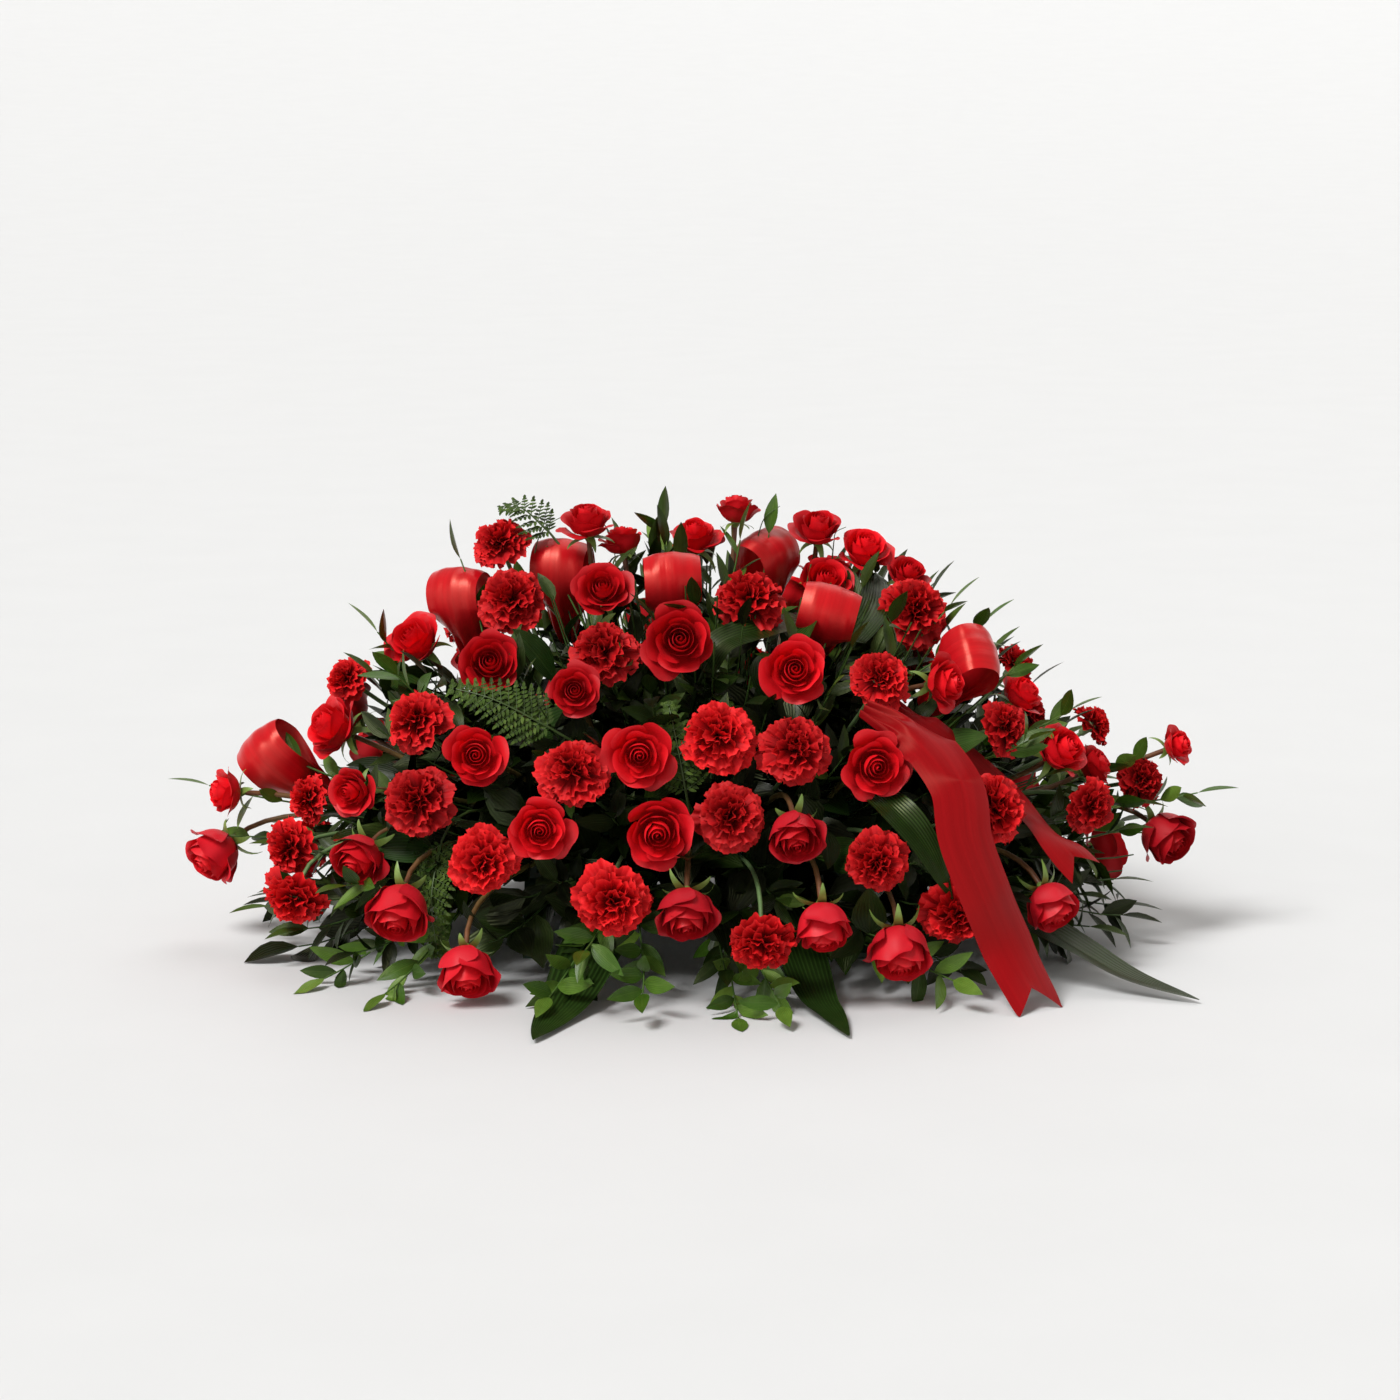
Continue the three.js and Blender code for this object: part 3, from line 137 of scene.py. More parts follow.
# Tips of the ruscus sprays: across, up and lift at the front, places at the back
RUSCUS = {
    "ruscus_left_end": [(-515, 158, 40), (-512, 106, 46), (-470, 205, 40)],
    "ruscus_upper_left": [(-338, 322, 40), (-318, 276, 44), (-250, 398, 34)],
    "ruscus_top": [(-37, 432, 54), (42, 419, 48), (-160, 412, 42)],
    "ruscus_upper_right": [(72, 425, 52), (262, 350, 46), (296, 330, 50)],
    "ruscus_right": [(330, 284, 52), (385, 236, 50), (345, 205, 44)],
    "ruscus_right_end": [(468, 190, 44), (522, 150, 48), (500, 110, 44)],
    "ruscus_low_left": [(-395, -50, 40), (-330, -66, 52), (-372, 50, 40)],
    "ruscus_low_middle": [(-158, -70, 44), (-120, -20, 44), (-60, -66, 50)],
    "ruscus_low_right": [(40, -92, 44), (84, -80, 50), (265, -52, 44)],
}
BACK_RUSCUS = {
    "ruscus_back_left": [(-215, 405, 44), (-400, 290, 110)],
    "ruscus_back_right": [(60, 420, 60), (400, 280, 110)],
}
# Tips of the salal twigs: across, up and lift at the front, places at the back
SALAL = {
    "salal_front": [
        (-60, 145, -26), (-295, 263, -14), (-160, 290, -22), (90, 296, -20), (150, 84, -16),
        (250, 200, -24), (-300, 96, -26),
    ],
}
BACK_SALAL = {
    "salal_back": [
        (0, 300, 118), (-150, 284, 104), (150, 284, 104), (-256, 240, 120), (256, 240, 120),
        (-346, 156, 162), (346, 156, 162), (-160, 210, 204), (160, 210, 204),
    ],
}
# Layers of the filler: share of its stems, lowest and highest lift, bottom and top as shares of
# the mound's height, spread about its two ends or 0 for all round, lowest tip, share of broad
# leaves, and how pale it is; the deeper layers are painted darker, as painted shade deep in the
# mound
FILLER_LAYERS = [
    (0.29, -125, -78, 0.16, 1.0, 0, 78, 1.0, 0.03),
    (0.10, -84, -44, 0.55, 1.0, 0, 78, 0.6, 0.08),
    (0.29, -58, -20, 0.0, 1.0, 0, 12, 0.12, 0.22),
    (0.17, -26, 2, 0.62, 1.0, 0, 12, 0.10, 0.50),
    (0.12, -34, -2, 0.06, 0.62, 0.5, 12, 0.0, 0.55),
    (0.26, -20, 16, 0.82, 1.0, 0, 12, 0.0, 0.60),
]
# Broad and narrow leaves of the filler: number on a stem, length and width
BROAD_LEAVES, NARROW_LEAVES = (8, 62, 38), (13, 45, 17)
# Thin curled tendrils at the top: places along each as across, up and lift
TENDRILS = [
    [(-166, 376, -24), (-160, 398, 6), (-146, 412, 18), (-127, 420, 24)],
    [(56, 384, -24), (60, 404, 8), (66, 417, 22), (80, 427, 30)],
    [(132, 372, -20), (134, 392, 8), (136, 401, 18), (146, 406, 24)],
]
# Foot, tip and width of the fern fronds: across, up and lift at the front, places at the back
FERNS = {
    "fern_low_left": ((-258, 92, -60), (-262, -26, -48), 62),
    "fern_left": ((-150, 205, -34), (-252, 246, 22), 64),
    "fern_middle": ((-14, 140, -40), (-32, 232, -2), 52),
    "fern_top": ((-150, 400, -30), (-200, 424, 14), 56),
}
BACK_FERNS = {
    "fern_back_left": ((-90, 246, 196), (-116, 392, 120), 66),
    "fern_back_right": ((110, 240, 210), (170, 400, 130), 70),
}
# How far a frond that stands up turns its upper side, to the back or below 0 to the front
FRONT_FACE, BACK_FACE = -1.1, 0.3
# Width of the aspidistra blades and their middles from foot to tip
BLADES = {
    "aspidistra_front_left": (66, [
        (-62, -86, 96), (-94, -200, 52), (-124, -312, 16), (-142, -380, 6), (-156, -448, 4)]),
    "aspidistra_front_middle": (50, [
        (62, -86, 96), (92, -210, 50), (112, -318, 14), (126, -370, 7), (140, -432, 4)]),
    "aspidistra_front_right": (64, [
        (200, -80, 100), (272, -150, 80), (350, -208, 48), (420, -252, 16), (486, -300, 5)]),
    "aspidistra_back_left": (66, [
        (-84, 86, 100), (-126, 190, 72), (-164, 312, 26), (-184, 396, 8), (-198, 448, 4)]),
    "aspidistra_back_right": (60, [
        (110, 86, 100), (160, 200, 72), (205, 310, 26), (232, 390, 8), (250, 440, 4)]),
}
# Blades between the blooms: width, how blunt they end (folded ones are blunt), then across, up
# and lift of their middles
INNER_BLADES = [
    (38, 0.75, [(2, 262, -46), (22, 290, -24), (62, 303, -20), (104, 314, -38)]),
    (36, 0.75, [(150, 292, -44), (172, 322, -20), (177, 352, -20), (166, 380, -46)]),
    (36, 0.0, [(158, 152, -44), (194, 124, -6), (226, 86, 4), (252, 34, 2)]),
]

# Tiers of a carnation: number of petals, their rise in radians and their length
TIERS = [(10, -0.08, 1.10), (10, 0.18, 1.0), (10, 0.50, 0.92), (9, 0.84, 0.88), (7, 1.22, 0.78)]
# Rings of the floor in metres: distance and height, flat for 12 m and then rising slowly, so
# that no edge of it shows
FLOOR_RINGS = [
    (0.01, 0), (12, 0), (20, 0.3), (30, 1.4), (40, 3.8), (50, 8), (58, 13), (63, 20)]
# Lights: where each comes from, its share of the key light's strength and its width in degrees
LIGHTS = {
    "key_light": ((-1.7, -1.8, 3.1), 0.94, 22),
    "fill_light": ((-2.3, -2.8, 1.1), 0.26, 45),
    "rim_light": ((0.6, 2.0, 2.6), 0.22, 40),
}


def unit(v):
    """The direction of one vector or of many."""
    return v / np.linalg.norm(v, axis=-1, keepdims=True)


def sight_way(across, up):
    """The direction in which the eye looks at a front place."""
    target = AIM + np.array([VIEW_SCALE * across, 0, 0]) + VIEW_SCALE * (up - AIM_UP) * VIEW_UP
    return unit(target - EYE)


def on_mound(across, up, lift=0.0, lowest=FLOOR_GAP):
    """The point seen at a front place, lifted off the mound and never under a height."""
    ray = sight_way(across, up)
    half = MOUND + lift
    start, way = EYE / half, ray / half
    a, b, c = way @ way, start @ way, start @ start - 1
    root = math.sqrt(max(b * b - a * c, 0))
    point = EYE + ray * (-b - root) / a
    if point[2] >= lowest:
        return point
    return EYE + ray * (lowest - EYE[2]) / ray[2]


def mound_normal(point):
    """The way out of the mound at one point or at many."""
    low = np.array(point, float)
    low[..., 2] = np.maximum(low[..., 2], 0)
    return unit(low / MOUND**2)


def on_ball(z, turn):
    """The point of a ball of radius 1 at a height and a turn."""
    flat = math.sqrt(1 - z * z)
    return np.array([flat * math.cos(turn), flat * math.sin(turn), z])


def facing(turn, rise):
    """A direction turned from the viewer towards +X and raised, both in degrees."""
    yaw, pitch = math.radians(turn), math.radians(rise)
    flat = math.cos(pitch)
    return np.array([math.sin(yaw) * flat, -math.cos(yaw) * flat, math.sin(pitch)])


def framing(way):
    """Two directions square to a way, the first level unless the way is nearly upright."""
    level = np.array([1.0, 0, 0]) if abs(way[2]) > 0.98 else np.array([0, 0, 1.0])
    side = unit(np.cross(level, way))
    return side, unit(np.cross(way, side))


def front_bloom(kind, entry):
    """One bloom of the front from its row in the lists."""
    across, up, width = entry[:3]
    radius = width / 2
    place = on_mound(across, up, 0, radius + FLOOR_GAP)
    way = facing(*entry[3:]) if len(entry) > 3 else mound_normal(place)
    return {"kind": kind, "place": place, "way": way, "radius": radius}


def back_blooms():
    """Blooms of the back, spread evenly by the golden angle."""
    state = BACK["seed"]
    blooms = []
    for i in range(BACK["points"]):
        place = on_ball((i + 0.5) / BACK["points"], i * GOLDEN) * MOUND
        state = state * DRAW_FACTOR % DRAW_RANGE
        radius = (BACK["width"] + BACK["spread"] * (state / DRAW_RANGE - 0.5)) / 2
        if place[1] < BACK["from"] or place[2] < BACK["lowest"]:
            continue
        kind = "carnation" if len(blooms) % 2 else "rose"
        way = mound_normal(place)
        blooms.append({"kind": kind, "place": place, "way": way, "radius": radius})
    return blooms


def ease_apart(blooms, balls, passes=90, depth_share=2):
    """Moves heads that would touch each other or a ribbon loop, more in depth than across."""
    places = [list(b["place"]) for b in blooms] + [list(place) for place, _ in balls]
    radii = [b["radius"] for b in blooms] + [radius for _, radius in balls]
    count = len(blooms)
    for _ in range(passes):
        for i in range(count):
            one = places[i]
            for j in range(i + 1, len(places)):
                other = places[j]
                x, y, z = other[0] - one[0], other[1] - one[1], other[2] - one[2]
                short = radii[i] + radii[j] + HEAD_GAP - math.sqrt(x * x + y * y + z * z)
                if short <= 0:
                    continue
                y *= depth_share
                scale = short / math.sqrt(x * x + y * y + z * z)
                share = scale if j >= count else 0.5 * scale
                for axis, part in enumerate((x, y, z)):
                    one[axis] -= share * part
                    if j < count:
                        other[axis] += share * part
        for i in range(count):
            places[i][2] = max(places[i][2], radii[i] + FLOOR_GAP)
    for bloom, place in zip(blooms, places):
        bloom["place"] = np.array(place)


def loop_frame(row):
    """Top, root, way out, width and leaning directions of a ribbon loop."""
    at, lift, tall, _, way, twist = row
    out = facing(*way)
    top = on_mound(*at, lift)
    side, over = framing(out)
    angle = math.radians(twist)
    width = side * math.cos(angle) + over * math.sin(angle)
    return top, top - out * tall, out, width, unit(np.cross(out, width))


def loop_balls(row):
    """Balls that keep the heads clear of a loop: two side by side, high and low in it."""
    top, _, out, width, _ = loop_frame(row)
    radius = row[3] / 2
    aside = RIBBON_WIDTH * 0.22
    return [
        (top - out * down * radius + width * across, radius)
        for across in (-aside, aside) for down in (0.7, 2)
    ]


def all_blooms():
    """Every bloom at its place, with its axes turned about its own way."""
    blooms = [front_bloom("rose", entry) for entry in FRONT_ROSES]
    blooms += [front_bloom("carnation", entry) for entry in FRONT_CARNATIONS]
    blooms += back_blooms()
    ease_apart(blooms, [ball for row in LOOPS.values() for ball in loop_balls(row)])
    for i, bloom in enumerate(blooms):
        turn = 2 * math.pi * i * 0.23
        side, over = framing(bloom["way"])
        bloom["axes"] = (side * math.cos(turn) + over * math.sin(turn),
                         over * math.cos(turn) - side * math.sin(turn), bloom["way"])
    return blooms


def bunches_of(blooms):
    """Blooms of one kind that stand near each other, from left to right, none left alone."""
    left = sorted(blooms, key=lambda b: b["place"][0])
    bunches = []
    while left:
        first = left.pop(0)
        near = sorted(left, key=lambda b: np.linalg.norm(b["place"] - first["place"]))
        more = near[: BUNCH_SIZE if len(left) == BUNCH_SIZE else BUNCH_SIZE - 1]
        left = [b for b in left if not any(b is m for m in more)]
        bunches.append([first, *more])
    return bunches


class Skin:
    """Points, faces and values at the points, gathered in millimetres for one mesh."""

    def __init__(self):
        self.points, self.faces, self.values, self.count = [], [], {}, 0

    def add(self, points, faces, **values):
        """Adds points and faces, each value one number or one a point."""
        points = np.asarray(points, float).reshape(-1, 3)
        self.points.append(points)
        self.faces.append(faces + self.count)
        for name in sorted({*self.values, *values}):
            held = self.values.setdefault(name, [np.zeros(self.count)])
            value = np.asarray(values.get(name, 0.0), float).ravel()
            held.append(np.broadcast_to(value, len(points)))
        self.count += len(points)

    def add_grids(self, grids, closed=False, **values):
        """Adds many grids of points at once, (count, rows, columns, 3), each value of a shape
        that spreads over them."""
        n, rows, cols = grids.shape[:3]
        here = np.arange(rows * cols).reshape(rows, cols)
        next_col = np.roll(here, -1, axis=1)
        span = slice(None) if closed else slice(0, cols - 1)
        low, high = here[:-1, span], here[1:, span]
        low_next, high_next = next_col[:-1, span], next_col[1:, span]
        quads = np.stack([low, low_next, high_next, high], -1).reshape(-1, 4)
        quads = (quads[None] + (np.arange(n) * rows * cols)[:, None, None]).reshape(-1, 4)
        spread = {k: np.broadcast_to(v, grids.shape[:3]).ravel() for k, v in values.items()}
        self.add(grids, quads, **spread)

    def build(self, name, material, lowest=MESH_GAP):
        """Makes the mesh object, its points held above the surface that the part rests on."""
        points = np.concatenate(self.points)
        points[:, 2] = np.maximum(points[:, 2], lowest)
        quads = np.concatenate(self.faces)
        mesh = bpy.data.meshes.new(name)
        mesh.vertices.add(len(points))
        mesh.vertices.foreach_set("co", (points * MM).ravel())
        mesh.loops.add(quads.size)
        mesh.loops.foreach_set("vertex_index", quads.ravel().astype(np.int32))
        mesh.polygons.add(len(quads))
        starts = np.arange(0, quads.size, 4, dtype=np.int32)
        mesh.polygons.foreach_set("loop_start", starts)
        mesh.polygons.foreach_set("use_smooth", np.ones(len(quads), bool))
        mesh.update(calc_edges=True)
        for key, parts in self.values.items():
            attribute = mesh.attributes.new(key, "FLOAT", "POINT")
            attribute.data.foreach_set("value", np.concatenate(parts).astype(np.float32))
        mesh.validate()
        mesh.materials.append(material)
        piece = bpy.data.objects.new(name, mesh)
        bpy.context.scene.collection.objects.link(piece)
        return piece


def dress(piece, slot, *nodes):
    """Hangs a finished piece on the part, for the nodes that it stands for."""
    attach(piece, BODY)
    if nodes:
        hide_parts(*nodes)
    return piece


def curve_through(points, count, steps=24):
    """Points and directions along a smooth curve through some points, evenly spaced."""
    points = np.asarray(points, float)
    ends = np.vstack([2 * points[0] - points[1], points, 2 * points[-1] - points[-2]])
    fine = []
    for i in range(len(points) - 1):
        p0, p1, p2, p3 = ends[i : i + 4]
        t = np.linspace(0, 1, steps, endpoint=False)[:, None]
        fine.append(0.5 * (2 * p1 + (p2 - p0) * t + (2 * p0 - 5 * p1 + 4 * p2 - p3) * t**2
                           + (3 * p1 - p0 - 3 * p2 + p3) * t**3))
    fine = np.vstack([*fine, points[-1:]])
    run = np.concatenate([[0], np.cumsum(np.linalg.norm(np.diff(fine, axis=0), axis=1))])
    at = np.linspace(0, run[-1], count)
    even = np.stack([np.interp(at, run, fine[:, k]) for k in range(3)], 1)
    return even, unit(np.gradient(even, axis=0))


def arc(start, start_way, end, end_way, count, reach=0.3):
    """Points along a stem that leaves one way and arrives another."""
    pull = reach * np.linalg.norm(end - start)
    a, b, c, d = start, start + start_way * pull, end - end_way * pull, end
    t = np.linspace(0, 1, count)[:, None]
    return a * (1 - t) ** 3 + 3 * b * t * (1 - t) ** 2 + 3 * c * t**2 * (1 - t) + d * t**3


def tube(skin, points, radii, sides=6, **values):
    """A round stem along points."""
    points = np.asarray(points, float)
    ways = unit(np.gradient(points, axis=0))
    side, _ = framing(ways[0])
    radii = np.broadcast_to(radii, len(points))
    turns = np.linspace(0, 2 * math.pi, sides, endpoint=False)
    rows = []
    for point, way, radius in zip(points, ways, radii):
        side = unit(side - way * (side @ way))
        over = np.cross(way, side)
        ring = np.outer(np.cos(turns), side) + np.outer(np.sin(turns), over)
        rows.append(point + radius * ring)
    skin.add_grids(np.array(rows)[None], closed=True, **values)


def foam_start(target, rng):
    """A point in the foam and the way out of it, for a stem towards a target."""
    spread = rng.uniform(-FOAM_SPREAD, FOAM_SPREAD, 3)
    heart = np.clip(target * FOAM_PULL, -FOAM_REACH, FOAM_REACH) + spread
    heart[2] += FOAM_MIDDLE
    return heart, unit(target - heart)


def leaf_grids(batch, rows, cols, fold, droop, widest=0.42):
    """Many pointed leaves, each folded along its midrib and drooping to its tip."""
    feet, ways, overs, longs, wides, _ = batch
    ways = unit(ways)[:, None, None, :]
    sides = unit(np.cross(ways, overs[:, None, None, :]))
    ups = np.cross(sides, ways)
    s = np.linspace(0, 1, rows)
    peak = np.where(s < widest, s / widest, (1 - s) / (1 - widest))
    half = np.sin(np.clip(peak, 0, 1) * math.pi / 2) ** 0.85
    half = np.maximum(half, 0.02)[None, :, None, None]
    longs, wides = longs[:, None, None, None], wides[:, None, None, None]
    along = s[None, :, None, None]
    across = np.linspace(-1, 1, cols)[None, None, :, None]
    grid = feet[:, None, None, :] + ways * longs * along
    grid = grid + sides * wides / 2 * half * across
    lift = fold * wides / 2 * half * np.abs(across) - droop * longs * along**2
    return grid + ups * lift


def ribbon_points():
    """Points all over the ribbon loops and tails, which the leaves keep clear of."""
    points = []
    for row in LOOPS.values():
        tall, deep = row[2:4]
        _, root, out, width, lean = loop_frame(row)
        for angle in np.linspace(-math.pi, math.pi, 26):
            rise = (1 + math.cos(angle)) / 2
            middle = root + out * tall * rise
            middle = middle + lean * deep / 2 * math.sin(angle) * (0.45 + 0.8 * rise)
            points += [middle + width * aside for aside in (-24, -8, 8, 24)]
    for wide, _, places in TAILS.values():
        middles, ways = curve_through([on_mound(*place) for place in places], 34)
        sides = unit(np.cross(ways, mound_normal(middles)))
        points += [middle + side * wide * aside for middle, side in zip(middles, sides)
                   for aside in (-0.36, -0.12, 0.12, 0.36)]
    return np.array(points)


def blade_points():
    """Points along the blades between the blooms, which the leaves keep clear of."""
    places = np.vstack([
        curve_through([on_mound(*place) for place in way], 24)[0] for *_, way in INNER_BLADES])
    return places + mound_normal(places) * 6


def rooms(points, radius):
    """Balls of one radius round points."""
    return np.column_stack([points, np.full(len(points), radius)])


def clear_leaves(batch, balls, room=0.86):
    """Keeps the leaves of a batch that run through none of the balls."""
    feet, ways, _, longs, *_ = batch
    free = np.ones(len(feet), bool)
    for along in (0.15, 0.55, 1.0):
        points = feet + unit(ways) * (longs * along)[:, None]
        gap = np.linalg.norm(points[:, None] - balls[None, :, :3], axis=2)
        free &= (gap > balls[None, :, 3] * room).all(axis=1)
    return tuple(part[free] for part in batch)


def open_faces(batch, rng, spared=0.12, room=0.8):
    """Drops most leaves that hang over a head or a ribbon as the photograph sees them."""
    feet, ways, _, longs, *_ = batch
    sight = unit(EYE - AIM)
    free = rng.random(len(feet)) < spared
    seen = np.ones(len(feet), bool)
    for along in (0.35, 0.7, 1.0):
        points = feet + unit(ways) * (longs * along)[:, None]
        gap = points[:, None] - KEEP_CLEAR[None, :, :3]
        before = gap @ sight
        aside = np.linalg.norm(gap - before[..., None] * sight, axis=2)
        seen &= ((before < 0) | (aside > KEEP_CLEAR[None, :, 3] * room)).all(axis=1)
    return tuple(part[free | seen] for part in batch)


BLOOMS = all_blooms()
# Balls that the leaves keep clear of: places and radii of the heads, ribbons and blades
KEEP_CLEAR = np.vstack([
    [[*b["place"], b["radius"]] for b in BLOOMS], rooms(ribbon_points(), 13.0),
    rooms(blade_points(), 20.0)])
# The filler also stays out of the room before each head and ribbon
FACES_CLEAR = np.vstack([
    KEEP_CLEAR,
    [[*(b["place"] + b["way"] * b["radius"] * 1.3), b["radius"] * 0.85] for b in BLOOMS],
    rooms(ribbon_points() + mound_normal(ribbon_points()) * 20, 15.0)])


def petal_points(bloom, theta, r, z):
    """Points of petals from turn, distance and height about a head's own axis."""
    side, over, way = bloom["axes"]
    flat = r[..., None] * (np.cos(theta)[..., None] * side + np.sin(theta)[..., None] * over)
    return bloom["place"] + bloom["radius"] * (flat + z[..., None] * way)


def rose_head(skin, bloom, rng):
    """A rose: petals wound about its middle by the golden angle, wider and lower outwards, with
    rolled rims. Lengths are in radii of the head."""
    # the more a rose nods, the less it has opened
    nod = max(-bloom["way"][2], 0.0)
    opened = float(np.clip(0.95 - 1.5 * nod - 0.25 * rng.random(), 0.12, 1))
    bloom["tint"] = rng.random()

    def mix(shut, wide):
        """Between the value for a shut rose and the value for one wide open."""
        return shut + (wide - shut) * opened

    # each from the middle petal outwards: how far out the rim and the belly stand, how high the
    # top is, how far the rim curls and how far round the petal reaches, in radians
    inner, outer = 9, 12
    n = inner + outer
    k, q = np.linspace(0, 1, inner), np.linspace(0, 1, outer)
    rim = np.concatenate([0.02 + mix(0.34, 0.33) * k, 0.42 + mix(0.47, 0.65) * q**0.9])
    belly = np.concatenate([0.09 + mix(0.40, 0.29) * k, mix(0.60, 0.38) + mix(0.26, 0.32) * q])
    top = np.concatenate([
        mix(0.78, 0.56) - 0.05 * k**2, mix(0.78, 0.48) - mix(0.14, 0.50) * q**1.3])
    curl = np.concatenate([0.02 + 0.04 * k, 0.09 + mix(0.12, 0.10) * q])
    reach = np.concatenate([2.4 - 1.2 * k, mix(1.05, 0.98) - 0.14 * q])
    old = np.concatenate([0 * k, 0.25 + 0.75 * q])
    base = np.where(old > 0, -0.60, -0.30)

    # no two petals are alike, least of all the outer ones
    wild = np.where(old > 0, 1.0, 0.4)
    theta = GOLDEN * np.arange(n) + rng.normal(0, 0.10, n) * wild
    rim = rim * (1 + rng.normal(0, 0.055, n) * wild)
    top = top + rng.normal(0, 0.035, n) * wild
    top[-2:] -= 0.16 * (1 - opened) * rng.uniform(0.3, 1.6, 2)
    curl = curl * (1 + rng.normal(0, 0.35, n) * wild)

    for pick, rows, cols in ((old == 0, 7, 17), (old > 0, 12, 15)):
        s = np.linspace(0, 1, rows)[None, :, None]
        u = np.linspace(-1, 1, cols)[None, None, :]
        m, b, t, c, a, turn, z0, age = (
            x[pick][:, None, None] for x in (rim, belly, top, curl, reach, theta, base, old))
        phase, phase2 = rng.uniform(0, 6.28, (2, pick.sum(), 1, 1))
        # the rim is lower towards both sides of a petal
        cut = np.abs(u)
        s_cut = s * (1 - (0.05 + mix(0.07, 0.13) * age) * cut**1.7 - 0.20 * cut**6)
        i0, i1 = (1 - s_cut) ** 3, 3 * s_cut * (1 - s_cut) ** 2
        i2, i3 = 3 * s_cut**2 * (1 - s_cut), s_cut**3
        r = i0 * 0.10 * (age > 0) + i1 * b * 1.14 + i2 * b * 1.02 + i3 * m
        z = i0 * z0 + i1 * (z0 + 0.08) + i2 * (t - 0.26) + i3 * t
        # then it rolls out and down, also along its sides
        roll = np.clip((s_cut - 0.62) / 0.38, 0, 1)
        edge = 0.32 + 1.30 * cut**1.4
        r = r + c * roll**1.6 * edge * (0.3 + age)
        z = z - c * roll**2.2 * edge * (0.2 + 0.9 * age)
        r = r + 0.09 * np.clip((cut - 0.62) / 0.38, 0, 1) ** 2 * age * s_cut
        # and waves a little, one side of the petal lying over the next
        wave = s_cut**2 * (0.3 + 0.7 * age)
        r = r + 0.022 * wave * np.sin(2.4 * math.pi * u + phase)
        z = z + 0.024 * wave * np.sin(1.7 * math.pi * u + phase2)
        r = r + (0.024 + 0.03 * m) * u * s_cut
        spread = a * (0.40 + 0.60 * np.sin(np.clip(s_cut * 1.6, 0, 1) * math.pi / 2))
        skin.add_grids(petal_points(bloom, turn + u * spread, r, z * mix(1.12, 1.0)),
                       along=s_cut, across=u, tint=bloom["tint"], outer=age, shut=1 - opened)


def calyx(skin, bloom, down, girth):
    """The green cup under a head, from its distances down the stem and its radii there."""
    points = bloom["place"] - np.outer(down, bloom["way"]) * bloom["radius"]
    tube(skin, points, np.array(girth) * bloom["radius"], 8, tint=bloom["tint"], wood=0)


def rose_green(skin, bloom, rng):
    """The five sepals and the hip under a rose."""
    s = np.linspace(0, 1, 7)[None, :, None]
    u = np.linspace(-1, 1, 3)[None, None, :]
    turn = (2 * math.pi * np.arange(5) / 5 + 0.3 + rng.normal(0, 0.12, 5))[:, None, None]
    back = rng.uniform(0.25, 0.8, (5, 1, 1))
    long = rng.uniform(0.62, 0.95, (5, 1, 1))
    r = 0.13 + long * np.sin(s * 1.35) * 0.95
    z = -0.66 + 0.10 * s - back * s**2 - 0.03 * np.abs(u) + 0.05 * np.abs(u) * (1 - s)
    half = 0.17 * (1 - s) ** 0.75 + 0.012
    skin.add_grids(petal_points(bloom, turn + u * half / r, r, z),
                   along=s, across=u, tint=bloom["tint"], wood=0)
    calyx(skin, bloom, [0.50, 0.58, 0.66, 0.74, 0.80, 0.86], [0.20, 0.21, 0.19, 0.17, 0.13, 0.10])


def carnation_head(skin, bloom, rng):
    """A carnation: tiers of fan-shaped petals, ruffled, with pinked edges. Lengths are in radii
    of the head."""
    bloom["tint"] = rng.random()
    turn = np.concatenate([
        2 * math.pi * (np.arange(count) + 0.37 * i) / count for i, (count, *_) in enumerate(TIERS)])
    counts = [count for count, *_ in TIERS]
    rise, long, deep = (np.repeat(values, counts) for values in (
        [lift for _, lift, _ in TIERS], [size for *_, size in TIERS],
        [i / (len(TIERS) - 1) for i in range(len(TIERS))]))
    n = len(turn)
    turn = turn + rng.normal(0, 0.14, n)
    rise = rise + rng.normal(0, 0.10, n)
    long = long * rng.uniform(0.84, 1.06, n)
    side, over, way = bloom["axes"]
    level = np.outer(np.cos(turn), side) + np.outer(np.sin(turn), over)
    ahead = level * np.cos(rise)[:, None] + way * np.sin(rise)[:, None]
    aside = unit(np.cross(way, level))
    up = np.cross(ahead, aside)
    lean = rng.normal(0, 0.16 + 0.60 * deep, n)[:, None]
    aside, up = aside * np.cos(lean) + up * np.sin(lean), up * np.cos(lean) - aside * np.sin(lean)

    rows, cols = 6, 19
    s = np.linspace(0, 1, rows)[None, :, None] ** 0.85
    u = np.linspace(-1, 1, cols)[None, None, :]
    d, q = deep[:, None, None], rng.uniform(0, 6.28, (n, 1, 1))
    q2, q3 = rng.uniform(0, 6.28, (2, n, 1, 1))
    # the edge is pinked, each tooth cut to its own depth
    teeth = np.where(np.arange(cols) % 2 == 0, 1.0, -1.0) * rng.uniform(0.5, 1.3, (n, 1, cols))
    bite = 0.014 * teeth * np.clip((s - 0.85) / 0.15, 0, 1)
    lobe = 0.03 * np.sin(2.6 * math.pi * u + q3) * s**3
    reach = long[:, None, None] * (s * (1 - 0.22 * u**2 * s) + bite + lobe)
    half = (0.09 + (0.42 - 0.12 * d) * s) * u
    # the outer petals bend down, and all of them are ruffled towards the edge
    bend = -0.16 * (1 - d) * s**2 + 0.09 * s**2 * rng.normal(0, 1, (n, 1, 1))
    ruffle = (0.075 * s**2.2 * np.sin(2.1 * math.pi * u + q)
              + 0.040 * s**3 * np.sin(4.6 * math.pi * u + q2))
    out = bend + ruffle + 0.05 * s**2 * np.sin(math.pi * u + q3)
    petals = sum(one[:, None, None, :] * share[..., None]
                 for one, share in ((ahead, reach), (aside, half), (up, out)))
    start = bloom["place"] - way * 0.26 * bloom["radius"]
    tint = np.clip(bloom["tint"] + rng.normal(0, 0.18, (n, 1, 1)), 0, 1)
    skin.add_grids(start + bloom["radius"] * petals, along=s, across=u, tint=tint, outer=1 - d)


